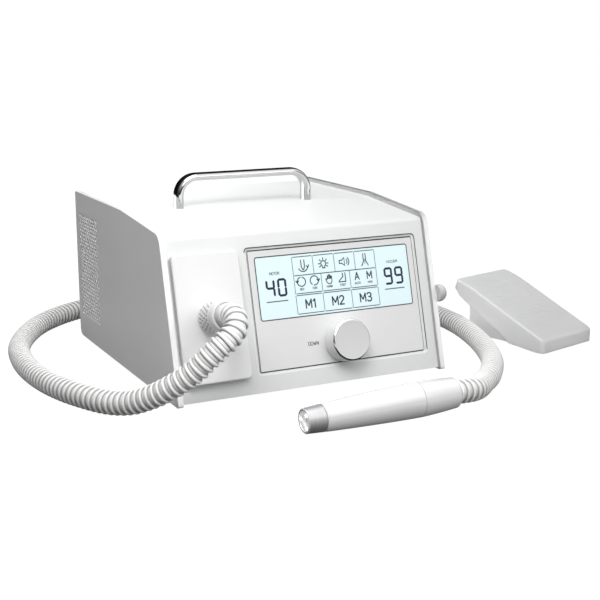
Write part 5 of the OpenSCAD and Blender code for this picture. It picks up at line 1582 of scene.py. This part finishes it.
@dataclass
class Studio:
    """Camera, floor and soft light."""

    eye: Triple = (-0.4893, -1.0786, 0.3299)
    turn: float = float(np.radians(26.763))
    dip: float = float(np.radians(12.938))
    lens: float = 70.62
    floor_half: float = 9.0
    floor_drop: float = 0.0005
    floor_glow: float = 1.0
    floor_back: float = 0.18
    mirror_near: tuple[float, float] = (-0.48, 1.8)
    mirror_far: tuple[float, float] = (-0.24, 0.03)
    overhead: float = 2.2
    ahead: float = 0.07
    behind: float = 0.36
    right: float = 0.5

    def camera(self) -> None:
        """Sets the camera where the photograph was taken from."""
        cam = bpy.data.cameras.new("camera")
        cam.lens, cam.sensor_width, cam.clip_end = self.lens, 36.0, 50.0
        obj = bpy.data.objects.new("camera", cam)
        obj.location = self.eye
        obj.rotation_euler = (np.pi / 2.0 - self.dip, 0.0, -self.turn)
        bpy.context.scene.collection.objects.link(obj)
        bpy.context.scene.camera = obj

    def floor(self) -> None:
        """Lays a plain white floor, which throws back less light on the unit than it shows."""
        mesh = bpy.data.meshes.new("floor")
        corners = round_box(2.0 * self.floor_half, 2.0 * self.floor_half, 0.0)
        mesh.from_pydata(raised(corners, 0.0).tolist(), [], [(0, 1, 2, 3)])
        mat = bpy.data.materials.new("floor_white")
        mat.use_nodes = True
        graph = Graph(mat.node_tree)
        shown = graph.set(mat.node_tree.nodes["Principled BSDF"], {
            "Base Color": (*grey(0.1), 1.0), "Roughness": 0.9, "Specular IOR Level": 0.0,
            "Emission Color": WHITE, "Emission Strength": self.floor_glow})
        where = graph.add("SeparateXYZ", {0: graph.add("TexCoord").outputs["Object"]})
        (near, bright), (far, dim) = self.mirror_near, self.mirror_far
        glow = graph.add("MapRange", {
            "Value": where.outputs["Y"], "From Min": near, "From Max": far, "To Min": bright, "To Max": dim})
        mirrored = graph.add("Emission", {"Strength": glow.outputs["Result"]})
        dull = graph.add("BsdfDiffuse", {"Color": (*grey(self.floor_back), 1.0)})
        graph.by_ray("Material Output", dull, mirrored, shown)
        mesh.materials.append(mat)
        obj = bpy.data.objects.new("floor", mesh)
        obj.location.z = -self.floor_drop
        bpy.context.scene.collection.objects.link(obj)

    def sky_light(self) -> None:
        """Sets a dome, brightest on the right; what shines also sees it bright overhead and dark behind."""
        world = bpy.data.worlds.new("studio")
        world.use_nodes = True
        graph = Graph(world.node_tree)
        way = graph.add("SeparateXYZ", {0: graph.add("TexCoord").outputs["Generated"]}).outputs
        along = graph.add("MapRange", {"Value": way["Y"], "From Min": -1.0}).outputs["Result"]
        height = graph.greys(way["Z"], [(z, z * z) for z in (0.0, 0.2, 0.4, 0.6, 0.8, 1.0)])
        depth = graph.greys(along, [(0.0, self.ahead), (0.5, 0.0), (1.0, self.behind)])
        cut = graph.greys(along, [(0.0, 1.0), (0.6, 0.9), (0.8, 0.05), (1.0, 0.0)])
        side = graph.greys(way["X"], [(0.0, 0.0), (1.0, self.right)])
        whole = graph.blend("ADD", side, depth)
        lift = graph.blend("MULTIPLY", height, (*grey(self.overhead), 1.0))
        dark = graph.blend("MULTIPLY", graph.blend("ADD", whole, lift), cut)
        graph.by_ray("World Output", *(graph.add("Background", {"Color": c}) for c in (whole, dark, WHITE)))
        bpy.context.scene.world = world

    def lamps(self) -> None:
        """Hangs the key, side and top lights and the fills of single pieces."""
        pedal = "treadle_shell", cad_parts["pedal_base"].name
        left, right, cover = "left_side", "right_side", "cover_skin"
        middle = (0.0, -0.03, 0.07)
        for lamp in (
            Lamp("key", (0.55, -1.8, 1.15), middle, 1.3, 11.0, spare=pedal),
            Lamp("side", (-0.62, -0.95, 1.22), middle, 0.8, 12.5, spare=(*pedal, right)),
            Lamp("top", (-0.2, 0.0, 1.2), (-0.05, 0.0, 0.1), 0.9, 8.0, spare=(cover, right)),
            Lamp("pedal_fill", (-0.45, -1.39, 0.06), (0.3, -0.08, 0.03), 0.5, 11.0, pedal),
            Lamp("pedal_top", (0.5, -0.5, 1.0), (0.33, -0.08, 0.04), 0.8, 1.2, pedal),
            Lamp("top_fill", (-0.3, 0.5, 0.45), (-0.02, 0.04, 0.16), 0.25, 6.5, (cover,)),
            Lamp("left_fill", (-1.2, 0.1, 0.3), (-0.14, 0.0, 0.08), 0.6, 0.55, (left,)),
            Lamp("rim_fill", (0.7, -1.0, 0.5), middle, 0.5, 7.5, (left, right)),
            Lamp("front_fill", (-0.05, -0.24, 0.38), (0.0, -0.12, 0.12), 0.3, 0.34, (cover,)),
            Lamp("plate_fill", (-0.12, -0.45, 0.04), (-0.1, -0.13, 0.07), 0.25, 0.2, ("port_cover_plate",)),
            Lamp("hose_fill", (-0.1, -0.42, 0.25), (-0.1, -0.19, 0.08), 0.15, 0.42, ("ribbed_hose",)),
        ):
            lamp.hang()

    def build(self) -> None:
        """Sets the tone of the picture, the dome, the floor and the lamps."""
        bpy.context.scene.view_settings.view_transform = "Standard"
        self.sky_light()
        self.floor()
        self.lamps()


def main() -> None:
    """Sets the camera, builds each sub-assembly in order and then the studio; pieces log their face counts."""
    logging.basicConfig(level=logging.INFO, format="%(name)s %(message)s")
    studio = Studio()
    studio.camera()
    housing = Housing()
    port, handpiece, display = Port(housing), Handpiece(), Display(housing)
    Hose(port, handpiece).build()
    housing.build(display)
    for part in (Handle(housing), Peg(housing), display, port, handpiece, Pedal(), Spring()):
        part.build()
    Plain().dress()
    studio.build()


if __name__ == "__main__":
    main()
